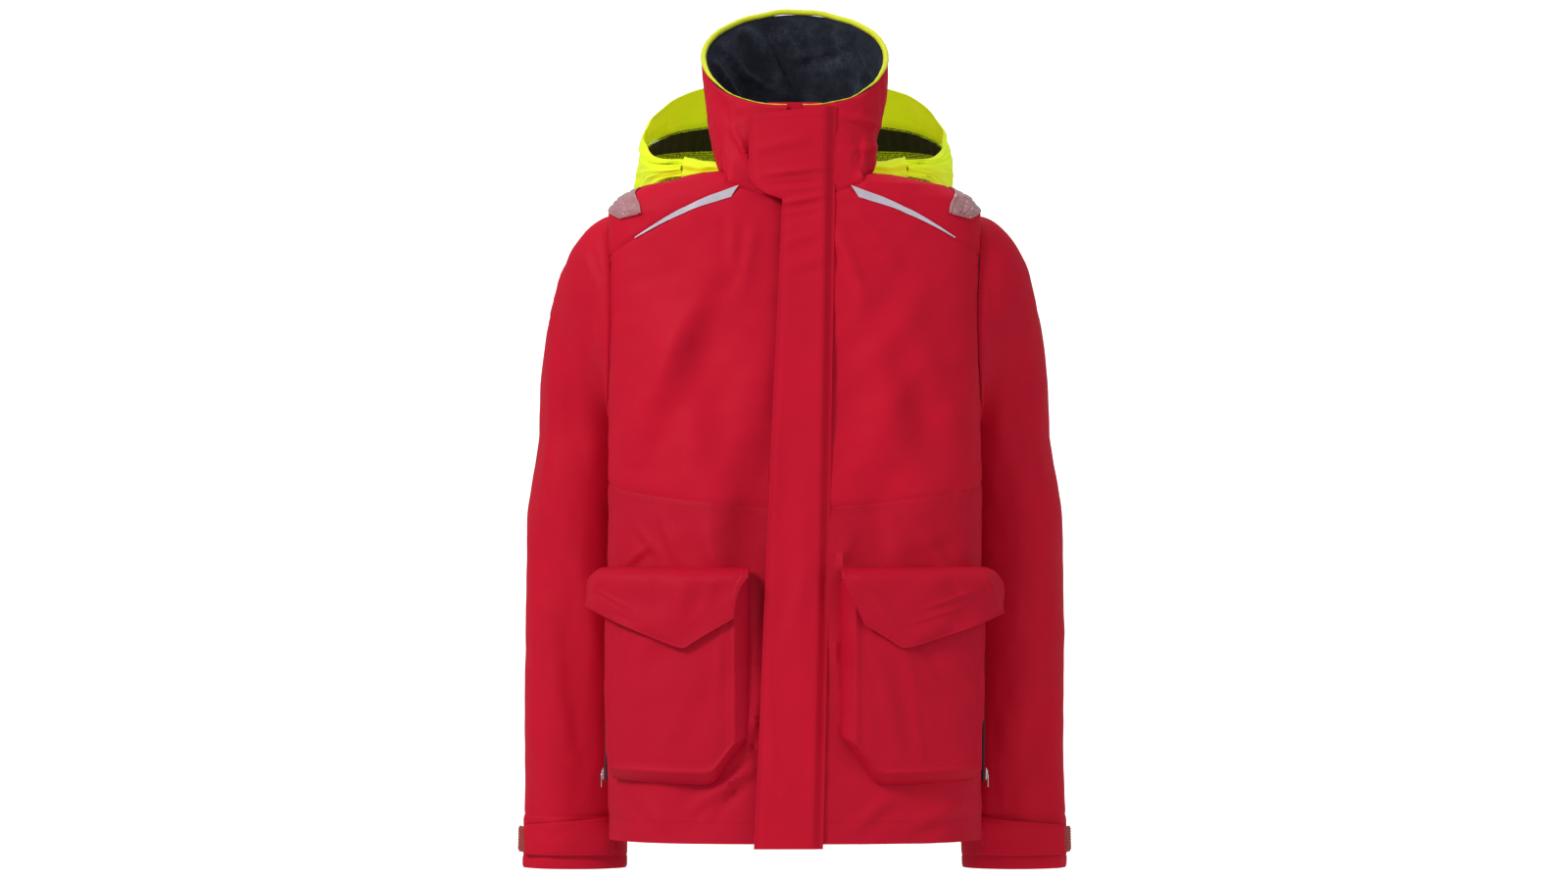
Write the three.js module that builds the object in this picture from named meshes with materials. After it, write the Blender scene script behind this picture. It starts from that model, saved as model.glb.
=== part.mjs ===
// Foul weather jacket for inshore sailing, hanging by its hanger loop.
// Millimetres, +Z up, the front faces -Y, the wearer's left is +X.
// While the jacket is being worked out, height 0 is the side neck point; the last group moves the
// origin to the hanger loop.

import * as THREE from 'three';
import { mergeVertices } from 'three/addons/utils/BufferGeometryUtils.js';

const { lerp, clamp, degToRad } = THREE.MathUtils;

// ---------------------------------------------------------------- driving dimensions

// body, measured down from the side neck point
const CHEST_HALF_WIDTH = 208;
const HEM_FLARE = 2;              // how much wider the hem is than the chest, each side
const BODY_LENGTH = 745;
const NECK_HALF_WIDTH = 80;
const NECK_FRONT_DROP = 32;
const NECK_BACK_RISE = 12;
const SHOULDER_DROP = 45;
const ARMHOLE_DEPTH = 240;
const WAIST_DROP_SIDE = 340;
const WAIST_DROP_FRONT = 376;
const FRONT_Y = -114;             // front centre line level with the side neck point
const FRONT_LEAN = 0.0487;        // the front centre line comes forward this much per mm going down
const SIDE_Y = -50;               // where the body is widest
const BACK_DEPTH = 150;           // from the widest line to the back
const BLADE_EXTRA = 10;           // more depth over the shoulder blades
const FRONT_FULLNESS = 2.5;       // superellipse powers of the front and back half sections
const BACK_FULLNESS = 1.8;

// cloth
const SHELL_THICK = 2.5;
const THIN = 1.2;                 // tapes, patches and strips
const SEAM_GAP = 0.8;             // each panel stops this far from its seam line
const LAYER_GAP = 1.5;            // room between a panel and what is sewn on top of it
const LINING_INSET = 11;

// collar
const COLLAR_HEIGHT_FRONT = 103;
const COLLAR_HEIGHT_BACK = 173;
const RIM_HALF_WIDTH = 105;
const RIM_BACK_Y = 72;
const PIPING_RADIUS = 2.5;

// front closure
const PLACKET_HALF = 9;           // half of the gap that the zip fills
const TEETH_WIDTH = 3.4;
const TAPE_WIDTH = 12;
const FLAP_OUT = 10;              // the storm flap lies this far off the body
const FLAP_WIDTH_COLLAR = 96;
const FLAP_WIDTH_NECK = 59;
const FLAP_WIDTH_HEM = 76;
const FLAP_SEAM_TOP_X = 46;
const FLAP_SEAM_HEM_X = 31;

// sleeves
const SLEEVE_DROP = 785;          // cuff end below the side neck point
const SLEEVE_OUT = 98;            // how far the sleeve stands beyond the chest width
const SLEEVE_IN = 18;             // how far it tucks in behind the body
const SLEEVE_Y = 62;              // the sleeve's middle at its top
const CUFF_Y = 46;
const SLEEVE_HALF_DEPTH_TOP = 66;
const SLEEVE_HALF_DEPTH_CUFF = 38;
const SPLIT_BELOW_UNDERARM = 10;
const CUFF_HEIGHT = 60;
const TAB_HEIGHT = 44;            // at its sewn end
const TAB_END_HEIGHT = 33;        // where the rubber end starts

// cargo pockets
const POCKET_TOP_DROP = 455;
const POUCH_HEIGHT = 225;
const POUCH_DEPTH = 24;
const POUCH_INNER_X = 50;
const FLAP_DROP = 81;

// hood
const HOOD_THICK = 2.5;
const HOOD_LINING_INSET = 7;

// ---------------------------------------------------------------- finishes

const RED = 0xc41e32;
const DARK_RED = 0xb01c2e;
const YELLOW = 0xdcf51e;
const NAVY = 0x23242c;
const SILVER = 0xd8d8de;
const CLEAR = 0xdfd0d2;
const ORANGE_RED = 0xb23a30;

function finish(colour, roughness = 0.8, metalness = 0) {
  return new THREE.MeshStandardMaterial({ color: colour, roughness, metalness });
}

// ---------------------------------------------------------------- small helpers

const jacket = new THREE.Group();

function addMesh(name, geometry, material, parent = jacket) {
  const mesh = new THREE.Mesh(geometry, material);
  mesh.name = name;
  parent.add(mesh);
  return mesh;
}

// A straight-line curve through [height, value] stations, held level past both ends.
function through(stations) {
  return (at) => {
    const last = stations.length - 1;
    let step = 0;
    while (step < last - 1 && at > stations[step + 1][0]) step += 1;
    const [from, start] = stations[step];
    const [to, end] = stations[step + 1];
    return lerp(start, end, clamp((at - from) / (to - from), 0, 1));
  };
}

function signedVolume(geometry) {
  const spot = geometry.attributes.position;
  const corner = [0, 1, 2].map(() => new THREE.Vector3());
  let total = 0;
  for (let face = 0; face < geometry.index.count; face += 3) {
    corner.forEach((point, k) => point.fromBufferAttribute(spot, geometry.index.getX(face + k)));
    total += corner[0].dot(corner[1].cross(corner[2])) / 6;
  }
  return total;
}

// Moves every corner of a plain solid to its place on the garment and keeps the faces outward.
function mapped(geometry, place) {
  geometry.deleteAttribute('normal');
  geometry.deleteAttribute('uv');
  const solid = mergeVertices(geometry, 1e-4);
  const spot = solid.attributes.position;
  for (let k = 0; k < spot.count; k += 1) {
    const point = place(spot.getX(k), spot.getY(k), spot.getZ(k));
    spot.setXYZ(k, point.x, point.y, point.z);
  }
  if (signedVolume(solid) < 0) {
    const order = solid.index.array;
    for (let face = 0; face < order.length; face += 3) {
      [order[face], order[face + 1]] = [order[face + 1], order[face]];
    }
  }
  return solid;
}

// A sheet: place(u, v, w) with u and v across it and w through its thickness, all from 0 to 1.
function sheet(cellsAcross, cellsUp, place) {
  const block = new THREE.BoxGeometry(1, 1, 1, cellsAcross, cellsUp, 1);
  return mapped(block, (x, y, z) => place(x + 0.5, y + 0.5, z + 0.5));
}

// A tube wall: place(turn, v, w) with turn in radians all the way round.
function ring(cellsRound, cellsUp, place) {
  const profile = [];
  for (let k = 0; k <= cellsUp; k += 1) profile.push(new THREE.Vector2(2, k / cellsUp));
  for (let k = cellsUp; k >= 0; k -= 1) profile.push(new THREE.Vector2(1, k / cellsUp));
  profile.push(profile[0].clone());
  const lathe = new THREE.LatheGeometry(profile, cellsRound);
  return mapped(lathe, (x, y, z) => place(Math.atan2(x, z), y, Math.hypot(x, z) - 1));
}

// Pushes a point of a surface out along the surface's normal.
function offsetFrom(surface, first, second, out, nudge = [0.02, 2]) {
  const along = surface(first + nudge[0], second).sub(surface(first - nudge[0], second));
  const up = surface(first, second + nudge[1]).sub(surface(first, second - nudge[1]));
  return surface(first, second).addScaledVector(along.cross(up).normalize(), out);
}

function mirrored(point, side) {
  point.x *= side;
  return point;
}

const SIDES = [['left', 1], ['right', -1]];

// ---------------------------------------------------------------- the body surface

const UNDERARM = -SHOULDER_DROP - ARMHOLE_DEPTH;
const halfWidth = through([
  [-BODY_LENGTH, CHEST_HALF_WIDTH + HEM_FLARE],
  [-WAIST_DROP_SIDE, CHEST_HALF_WIDTH + HEM_FLARE],
  [UNDERARM, CHEST_HALF_WIDTH],
  [-SHOULDER_DROP, CHEST_HALF_WIDTH],
  [-SHOULDER_DROP * 0.67, lerp(NECK_HALF_WIDTH, CHEST_HALF_WIDTH, 0.91)],
  [-SHOULDER_DROP * 0.33, lerp(NECK_HALF_WIDTH, CHEST_HALF_WIDTH, 0.69)],
  [-SHOULDER_DROP * 0.11, lerp(NECK_HALF_WIDTH, CHEST_HALF_WIDTH, 0.27)],
  [0, NECK_HALF_WIDTH],
  [NECK_BACK_RISE * 2, NECK_HALF_WIDTH - 6],
]);

const backDepth = through([
  [-BODY_LENGTH, BACK_DEPTH],
  [-WAIST_DROP_SIDE, BACK_DEPTH],
  [-SHOULDER_DROP * 2, BACK_DEPTH + BLADE_EXTRA],
  [-SHOULDER_DROP * 0.67, BACK_DEPTH - 5],
  [NECK_BACK_RISE, BACK_DEPTH - 25],
]);

function frontY(height) {
  return FRONT_Y + FRONT_LEAN * height;
}

// angle 0 is the front centre, a quarter turn is the wearer's left side
function bodyPoint(angle, height) {
  const sideways = Math.sin(angle);
  const ahead = Math.cos(angle);
  const power = 2 / (ahead > 0 ? FRONT_FULLNESS : BACK_FULLNESS);
  const depth = ahead > 0 ? SIDE_Y - frontY(height) : backDepth(height);
  return new THREE.Vector3(
    halfWidth(height) * Math.sign(sideways) * Math.abs(sideways) ** power,
    SIDE_Y - depth * Math.sign(ahead) * Math.abs(ahead) ** power,
    height,
  );
}

function onBody(angle, height, out) {
  return offsetFrom(bodyPoint, angle, height, out);
}

// the angle at which the front half of the body has this x
function frontAngle(x, height) {
  return Math.asin(clamp(x / halfWidth(height), 0, 1) ** (FRONT_FULLNESS / 2));
}

const neckHeight = through([
  [0, -NECK_FRONT_DROP],
  [degToRad(15), -NECK_FRONT_DROP * 0.62],
  [degToRad(27), -NECK_FRONT_DROP * 0.31],
  [degToRad(35), -NECK_FRONT_DROP * 0.17],
  [degToRad(50), -NECK_FRONT_DROP * 0.08],
  [degToRad(90), 0],
  [degToRad(180), NECK_BACK_RISE],
]);

function neckEdge(fromDegrees, toDegrees) {
  return (t) => {
    const angle = degToRad(lerp(fromDegrees, toDegrees, t));
    return [angle, neckHeight(Math.min(angle, 2 * Math.PI - angle))];
  };
}

// ---------------------------------------------------------------- seam lines, as [angle, height]

const ARMHOLE_ANGLE = degToRad(108);
const ARMHOLE_HALF_ANGLE = degToRad(29.5);
const ARMHOLE_MIDDLE = -SHOULDER_DROP - ARMHOLE_DEPTH / 2;
const YOKE_DROP_SIDE = 94;
const YOKE_START_X = 62;
const YOKE_START_DROP = 23;
const YOKE_BOW = 8;

// turn 0 is the shoulder tip, a quarter turn is the back of the armhole
function armhole(turn, grow = 1) {
  return [
    ARMHOLE_ANGLE + ARMHOLE_HALF_ANGLE * grow * Math.sin(turn),
    ARMHOLE_MIDDLE + (ARMHOLE_DEPTH / 2) * grow * Math.cos(turn),
  ];
}

const YOKE_TURN = Math.acos((-YOKE_DROP_SIDE - ARMHOLE_MIDDLE) / (ARMHOLE_DEPTH / 2));

function armholeEdge(fromTurn, toTurn) {
  return (t) => armhole(lerp(fromTurn, toTurn, t));
}

function straight(from, to) {
  return (t) => [lerp(from[0], to[0], t), lerp(from[1], to[1], t)];
}

function joined(first, second, share) {
  return (t) => (t < share ? first(t / share) : second((t - share) / (1 - share)));
}

function otherSide(edge) {
  return (t) => {
    const [angle, height] = edge(t);
    return [2 * Math.PI - angle, height];
  };
}

function placketEdge(from, to) {
  return (t) => {
    const height = lerp(from, to, t);
    return [frontAngle(PLACKET_HALF, height), height];
  };
}

function waistEdge(t) {
  const start = frontAngle(PLACKET_HALF, -WAIST_DROP_FRONT);
  return [lerp(start, ARMHOLE_ANGLE, t), lerp(-WAIST_DROP_FRONT, -WAIST_DROP_SIDE, t)];
}

function yokeSeam(t) {
  const [endAngle, endHeight] = armhole(2 * Math.PI - YOKE_TURN);
  const height = lerp(-YOKE_START_DROP, endHeight, t) + YOKE_BOW * Math.sin(Math.PI * t);
  const endX = bodyPoint(endAngle, endHeight).x;
  return t > 0.98 ? [endAngle, endHeight] : [frontAngle(lerp(YOKE_START_X, endX, t), height), height];
}

// A piece between four seam lines; low and high run the same way, start joins their first ends.
function patchPoint(edges, u, v) {
  const low = edges.low(u);
  const high = edges.high(u);
  const start = edges.start(v);
  const end = edges.end(v);
  const corners = [edges.low(0), edges.low(1), edges.high(0), edges.high(1)];
  return [0, 1].map((k) => (1 - v) * low[k] + v * high[k] + (1 - u) * start[k] + u * end[k]
    - (1 - u) * ((1 - v) * corners[0][k] + v * corners[2][k])
    - u * ((1 - v) * corners[1][k] + v * corners[3][k]));
}

// A cloth panel between seam lines, from inner to outer millimetres off the body.
function addPanel(name, edges, cells, material, options = {}) {
  const { inner = -SHELL_THICK, outer = 0, side = 1, gap = SEAM_GAP } = options;
  const at = (u, v, out) => onBody(...patchPoint(edges, u, v), out);
  const acrossGap = gap / at(0, 0.5, 0).distanceTo(at(1, 0.5, 0));
  const upGap = gap / at(0.5, 0, 0).distanceTo(at(0.5, 1, 0));
  const geometry = sheet(cells[0], cells[1], (u, v, w) => mirrored(
    at(lerp(acrossGap, 1 - acrossGap, u), lerp(upGap, 1 - upGap, v), lerp(inner, outer, w)),
    side,
  ));
  return addMesh(name, geometry, material);
}

// ---------------------------------------------------------------- shell panels

const yokeStart = yokeSeam(0);
const shoulderSeam = straight(armhole(0), neckEdge(108, 108)(0));
const placketNeck = THREE.MathUtils.radToDeg(frontAngle(PLACKET_HALF, -NECK_FRONT_DROP));
const yokeNeck = THREE.MathUtils.radToDeg(yokeStart[0]);

for (const [word, side] of SIDES) {
  addPanel(`front_upper_${word}`, {
    low: waistEdge,
    high: joined(neckEdge(placketNeck, yokeNeck - 0.5), yokeSeam, 0.22),
    start: placketEdge(-WAIST_DROP_FRONT, -NECK_FRONT_DROP),
    end: joined(
      straight(waistEdge(1), armhole(Math.PI)),
      armholeEdge(Math.PI, 2 * Math.PI - YOKE_TURN),
      0.25,
    ),
  }, [11, 8], finish(RED), { side });

  addPanel(`front_lower_${word}`, {
    low: straight([frontAngle(PLACKET_HALF, -BODY_LENGTH), -BODY_LENGTH], [ARMHOLE_ANGLE, -BODY_LENGTH]),
    high: waistEdge,
    start: placketEdge(-BODY_LENGTH, -WAIST_DROP_FRONT),
    end: straight([ARMHOLE_ANGLE, -BODY_LENGTH], waistEdge(1)),
  }, [12, 4], finish(DARK_RED), { side });

  addPanel(`yoke_${word}`, {
    low: joined(yokeSeam, armholeEdge(2 * Math.PI - YOKE_TURN, 2 * Math.PI), 0.7),
    high: neckEdge(yokeNeck + 0.5, 108),
    start: straight(yokeStart, neckEdge(yokeNeck + 0.5, 108)(0)),
    end: shoulderSeam,
  }, [12, 6], finish(RED), { side });
}

const backYokeEdge = straight(armhole(YOKE_TURN), otherSide(armholeEdge(YOKE_TURN, YOKE_TURN))(0));
const backYokeSide = joined(armholeEdge(YOKE_TURN, 0), shoulderSeam, 0.6);
addPanel('back_yoke', {
  low: backYokeEdge,
  high: neckEdge(108, 252),
  start: backYokeSide,
  end: otherSide(backYokeSide),
}, [16, 5], finish(RED));

const backSide = joined(
  straight(waistEdge(1), armhole(Math.PI)),
  armholeEdge(Math.PI, YOKE_TURN),
  0.25,
);
const backWaist = straight(waistEdge(1), otherSide(waistEdge)(1));
addPanel('back_upper', {
  low: backWaist,
  high: backYokeEdge,
  start: backSide,
  end: otherSide(backSide),
}, [14, 7], finish(RED));

addPanel('back_lower', {
  low: straight([ARMHOLE_ANGLE, -BODY_LENGTH], [2 * Math.PI - ARMHOLE_ANGLE, -BODY_LENGTH]),
  high: backWaist,
  start: straight([ARMHOLE_ANGLE, -BODY_LENGTH], waistEdge(1)),
  end: otherSide(straight([ARMHOLE_ANGLE, -BODY_LENGTH], waistEdge(1))),
}, [14, 4], finish(DARK_RED));

// the mesh lining stops at the facing behind the zip, above the hem and below the armholes
const LINING_FRONT_ANGLE = degToRad(12);
const LINING_HEM_RISE = 25;
const LINING_TOP_DROP = 8;

function insetBody(angle, height, inset) {
  const point = bodyPoint(angle, height);
  const wide = halfWidth(height);
  const deep = Math.cos(angle) > 0 ? SIDE_Y - frontY(height) : backDepth(height);
  point.x *= (wide - inset) / wide;
  point.y = SIDE_Y + ((point.y - SIDE_Y) * (deep - inset)) / deep;
  return point;
}

addMesh('body_lining', sheet(20, 2, (u, v, w) => insetBody(
  lerp(LINING_FRONT_ANGLE, 2 * Math.PI - LINING_FRONT_ANGLE, u),
  lerp(-BODY_LENGTH + LINING_HEM_RISE, UNDERARM - LINING_TOP_DROP, v),
  lerp(LINING_INSET + THIN, LINING_INSET, w),
)), finish(NAVY, 0.9));

// ---------------------------------------------------------------- collar

const RIM_FRONT_HEIGHT = COLLAR_HEIGHT_FRONT - NECK_FRONT_DROP;
const RIM_FRONT_Y = frontY(RIM_FRONT_HEIGHT);
const RIM_MIDDLE_Y = (RIM_FRONT_Y + RIM_BACK_Y) / 2;
const RIM_HALF_DEPTH = (RIM_BACK_Y - RIM_FRONT_Y) / 2;
const RIM_BACK_HEIGHT = COLLAR_HEIGHT_BACK + NECK_BACK_RISE;
const COLLAR_SEAM_GAP = 1.8;

function rimHeight(angle) {
  return lerp(RIM_FRONT_HEIGHT, RIM_BACK_HEIGHT, (1 - Math.cos(angle)) / 2);
}

// rise 0 is the neck seam and 1 is the rim; inset runs inward from the outer face
function collarPoint(angle, rise, inset) {
  const foot = bodyPoint(angle, neckEdge(0, THREE.MathUtils.radToDeg(angle))(1)[1]);
  const sideways = Math.sin(angle);
  const ahead = Math.cos(angle);
  const power = ahead > 0 ? 2 / FRONT_FULLNESS : 1;
  const rim = new THREE.Vector3(
    RIM_HALF_WIDTH * Math.sign(sideways) * Math.abs(sideways) ** power,
    RIM_MIDDLE_Y - RIM_HALF_DEPTH * Math.sign(ahead) * Math.abs(ahead) ** power,
    rimHeight(angle),
  );
  const point = foot.clone().lerp(rim, rise);
  point.x = lerp(foot.x, rim.x, Math.sin((rise * Math.PI) / 2));
  point.z += COLLAR_SEAM_GAP * (1 - rise);
  point.x -= inset * sideways;
  point.y += inset * ahead;
  return point;
}

// the angle where the collar's front edge is this far from the centre line
function collarFront(rise, clear) {
  const foot = frontAngle(clear, -NECK_FRONT_DROP);
  const rim = Math.asin((clear / RIM_HALF_WIDTH) ** (FRONT_FULLNESS / 2));
  return lerp(foot, rim, Math.sin((rise * Math.PI) / 2));
}

function collarSheet(cells, insets, rises, clear) {
  return sheet(cells[0], cells[1], (u, v, w) => {
    const rise = lerp(rises[0], rises[1], v);
    const front = collarFront(rise, clear);
    return collarPoint(lerp(front, 2 * Math.PI - front, u), rise, lerp(insets[1], insets[0], w));
  });
}

const FLEECE_THICK = 2.5;
const FLEECE_GAP = 2.4;
const INNER_FLAP_HALF = 30;
addMesh('collar_shell', collarSheet([26, 3], [0, SHELL_THICK], [0, 1], PLACKET_HALF), finish(RED));
addMesh('collar_lining', collarSheet(
  [26, 3],
  [SHELL_THICK + FLEECE_GAP, SHELL_THICK + FLEECE_GAP + FLEECE_THICK],
  [0.02, 1],
  INNER_FLAP_HALF + 5,
), finish(NAVY, 0.95));

// A cord or bead: a round section swept along points.
function bead(points, radius, sides, steps) {
  const section = new THREE.Shape();
  for (let k = 0; k < sides; k += 1) {
    const turn = (2 * Math.PI * k) / sides;
    const corner = [radius * Math.cos(turn), radius * Math.sin(turn)];
    if (k === 0) section.moveTo(...corner);
    else section.lineTo(...corner);
  }
  section.closePath();
  const extrudePath = new THREE.CatmullRomCurve3(points);
  return mapped(
    new THREE.ExtrudeGeometry(section, { steps, extrudePath, bevelEnabled: false }),
    (x, y, z) => new THREE.Vector3(x, y, z),
  );
}

// how much longer the sloping rim is than its plan, at this angle
function rimSlope(angle) {
  const step = degToRad(2);
  const along = collarPoint(angle + step, 1, 0).sub(collarPoint(angle - step, 1, 0));
  return along.length() / Math.hypot(along.x, along.y);
}

const pipingPoints = [];
const PIPING_POINTS = 27;
const PIPING_STEPS = 40;
const PIPING_GAP = 1.2;
for (let k = 0; k < PIPING_POINTS; k += 1) {
  const front = collarFront(1, PLACKET_HALF);
  const angle = lerp(front, 2 * Math.PI - front, k / (PIPING_POINTS - 1));
  const point = collarPoint(angle, 1, SHELL_THICK);
  point.z += (PIPING_RADIUS + PIPING_GAP) * rimSlope(angle);
  pipingPoints.push(point);
}
addMesh('collar_piping', bead(pipingPoints, PIPING_RADIUS, 6, PIPING_STEPS), finish(YELLOW, 0.6));

// hanger loop: a short cord sewn to the inside of the back neck seam
const LOOP_HALF_SPAN = 26;
const LOOP_RISE = 18;
const LOOP_CORD_RADIUS = 2;
const LOOP_Y = bodyPoint(Math.PI, NECK_BACK_RISE).y - 24;
const HANGER = new THREE.Vector3(0, LOOP_Y, NECK_BACK_RISE + LOOP_RISE);
addMesh('hanger_loop', bead([
  new THREE.Vector3(-LOOP_HALF_SPAN, LOOP_Y, NECK_BACK_RISE),
  new THREE.Vector3(-LOOP_HALF_SPAN * 0.6, LOOP_Y, NECK_BACK_RISE + LOOP_RISE * 0.8),
  HANGER,
  new THREE.Vector3(LOOP_HALF_SPAN * 0.6, LOOP_Y, NECK_BACK_RISE + LOOP_RISE * 0.8),
  new THREE.Vector3(LOOP_HALF_SPAN, LOOP_Y, NECK_BACK_RISE),
], LOOP_CORD_RADIUS, 6, 10), finish(NAVY, 0.7));

// ---------------------------------------------------------------- front closure

// inside this group x runs across, -y comes out of the body and z runs up the zip
const closure = new THREE.Group();
closure.position.set(0, FRONT_Y, 0);
closure.rotation.x = -Math.atan(FRONT_LEAN);
jacket.add(closure);

const ZIP_TOP = RIM_FRONT_HEIGHT - 10;
const ZIP_FOOT = -BODY_LENGTH + 21;
const STOP_HEIGHT = 12;
const TOUCH_GAP = 0.3;

function addBar(name, across, out, along, material) {
  const block = new THREE.BoxGeometry(
    Math.abs(across[1] - across[0]),
    out[1] - out[0],
    along[1] - along[0],
  );
  const mesh = addMesh(name, block, material, closure);
  mesh.position.set(
    (across[0] + across[1]) / 2,
    -(out[0] + out[1]) / 2,
    (along[0] + along[1]) / 2,
  );
  return mesh;
}

const TEETH_INNER = 0.2;
const TAPE_INNER = TEETH_INNER + TEETH_WIDTH + TOUCH_GAP;
const TAPE_OUT = [-4.6, -4.6 + THIN];
const TEETH_OUT = [-5.2, -2.2];
for (const [word, side] of SIDES) {
  addBar(`zip_teeth_${word}`, [side * TEETH_INNER, side * (TEETH_INNER + TEETH_WIDTH)], TEETH_OUT,
    [ZIP_FOOT + STOP_HEIGHT + TOUCH_GAP, ZIP_TOP], finish(NAVY, 0.5));
  addBar(`zip_tape_${word}`, [side * TAPE_INNER, side * (TAPE_INNER + TAPE_WIDTH)], TAPE_OUT,
    [ZIP_FOOT + STOP_HEIGHT + TOUCH_GAP, ZIP_TOP], finish(NAVY, 0.8));
}
addBar('zip_stop', [-5, 5], [-5.2, -0.8], [ZIP_FOOT, ZIP_FOOT + STOP_HEIGHT], finish(NAVY, 0.4));
addBar('inner_flap', [-INNER_FLAP_HALF, INNER_FLAP_HALF], [-8.4, -6.4], [-BODY_LENGTH + 12, ZIP_TOP], finish(RED));

// slider with its shoulders wider than its foot, and the puller hanging from it
const SLIDER_HALF = 6;
const SLIDER_HEIGHT = 15;
const SLIDER_OUT = [-1.8, 4];
const SLIDER_REST = ZIP_TOP - 16;
const PULLER_THICK = 1.8;
const PULLER_LENGTH = 30;

// an outline across the closure, thickened outward
function addPlate(name, outline, out, material) {
  const plate = new THREE.ExtrudeGeometry(outline, {
    depth: out[1] - out[0], bevelEnabled: false, curveSegments: 5,
  });
  plate.rotateX(Math.PI / 2);
  plate.translate(0, -out[0], 0);
  return addMesh(name, plate, material, closure);
}

const sliderOutline = new THREE.Shape([
  new THREE.Vector2(-SLIDER_HALF * 0.7, SLIDER_REST - SLIDER_HEIGHT / 2),
  new THREE.Vector2(SLIDER_HALF * 0.7, SLIDER_REST - SLIDER_HEIGHT / 2),
  new THREE.Vector2(SLIDER_HALF, SLIDER_REST + SLIDER_HEIGHT * 0.3),
  new THREE.Vector2(SLIDER_HALF * 0.6, SLIDER_REST + SLIDER_HEIGHT / 2),
  new THREE.Vector2(-SLIDER_HALF * 0.6, SLIDER_REST + SLIDER_HEIGHT / 2),
  new THREE.Vector2(-SLIDER_HALF, SLIDER_REST + SLIDER_HEIGHT * 0.3),
]);
addPlate('zip_slider', sliderOutline, SLIDER_OUT, finish(SILVER, 0.35, 0.9));
const pullerOutline = new THREE.Shape([
  new THREE.Vector2(-3, SLIDER_REST),
  new THREE.Vector2(-4.5, SLIDER_REST - PULLER_LENGTH * 0.8),
  new THREE.Vector2(-3, SLIDER_REST - PULLER_LENGTH),
  new THREE.Vector2(3, SLIDER_REST - PULLER_LENGTH),
  new THREE.Vector2(4.5, SLIDER_REST - PULLER_LENGTH * 0.8),
  new THREE.Vector2(3, SLIDER_REST),
]);
addPlate('zip_puller', pullerOutline, [
  SLIDER_OUT[1] + TOUCH_GAP,
  SLIDER_OUT[1] + TOUCH_GAP + PULLER_THICK,
], finish(NAVY, 0.5));

// storm flap: a wide tongue over the collar, a step at the neck, then a long panel to the hem
const FLAP_CORNER = 26;
const FLAP_TOP = RIM_FRONT_HEIGHT - 1;
const FLAP_FOOT = -BODY_LENGTH - 6;
const flapCollarX = FLAP_SEAM_TOP_X - 1 - FLAP_WIDTH_COLLAR;
const flapNeckX = FLAP_SEAM_TOP_X - 1 - FLAP_WIDTH_NECK;
const flapHemX = FLAP_SEAM_HEM_X - 1 - FLAP_WIDTH_HEM;
const stormOutline = new THREE.Shape();
stormOutline.moveTo(FLAP_SEAM_TOP_X, FLAP_TOP);
stormOutline.lineTo(flapCollarX, FLAP_TOP - 10);
stormOutline.lineTo(flapCollarX, -NECK_FRONT_DROP + FLAP_CORNER);
stormOutline.quadraticCurveTo(flapCollarX + 6, -NECK_FRONT_DROP + 4, flapNeckX, -NECK_FRONT_DROP);
stormOutline.lineTo(flapNeckX, -NECK_FRONT_DROP - 11);
stormOutline.quadraticCurveTo(lerp(flapNeckX, flapHemX, 0.65), -WAIST_DROP_SIDE * 0.6, flapHemX, FLAP_FOOT);
stormOutline.lineTo(FLAP_SEAM_HEM_X, FLAP_FOOT);
stormOutline.closePath();
addPlate('storm_flap', stormOutline, [FLAP_OUT, FLAP_OUT + 3], finish(RED));

const STRIP_ACROSS = [-28, -14];
const STRIP_ALONG = [-BODY_LENGTH + 45, -WAIST_DROP_SIDE * 0.75];
addBar('storm_flap_hooks', STRIP_ACROSS, [FLAP_OUT - THIN - TOUCH_GAP, FLAP_OUT - TOUCH_GAP], STRIP_ALONG,
  finish(NAVY, 0.95));
addBar('storm_flap_loops', STRIP_ACROSS, [LAYER_GAP, LAYER_GAP + THIN], STRIP_ALONG, finish(NAVY, 0.95));

// ---------------------------------------------------------------- shoulder trim

const STRIP_WIDE = 13;
const STRIP_TIP = 1.6;
const STRIP_SPAN = [0.03, 0.8];
const TRIM_LAYER = { inner: LAYER_GAP, outer: LAYER_GAP + THIN, gap: 0 };

function stripEdge(way) {
  return (t) => {
    const [angle, height] = yokeSeam(lerp(STRIP_SPAN[0], STRIP_SPAN[1], t));
    return [angle, height + (way * lerp(STRIP_WIDE, STRIP_TIP, t)) / 2];
  };
}

const PATCH_TOP_DROP = 17;        // inner edge on the ridge of the shoulder
const PATCH_REACH = 37;           // from the widest line of the chest in to the inner edge
const PATCH_TIP_DROP = 38;        // outer edge on the ridge, by the sleeve
const PATCH_FOOT_DROP = 54;       // both ends, down the front and the back

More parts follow.
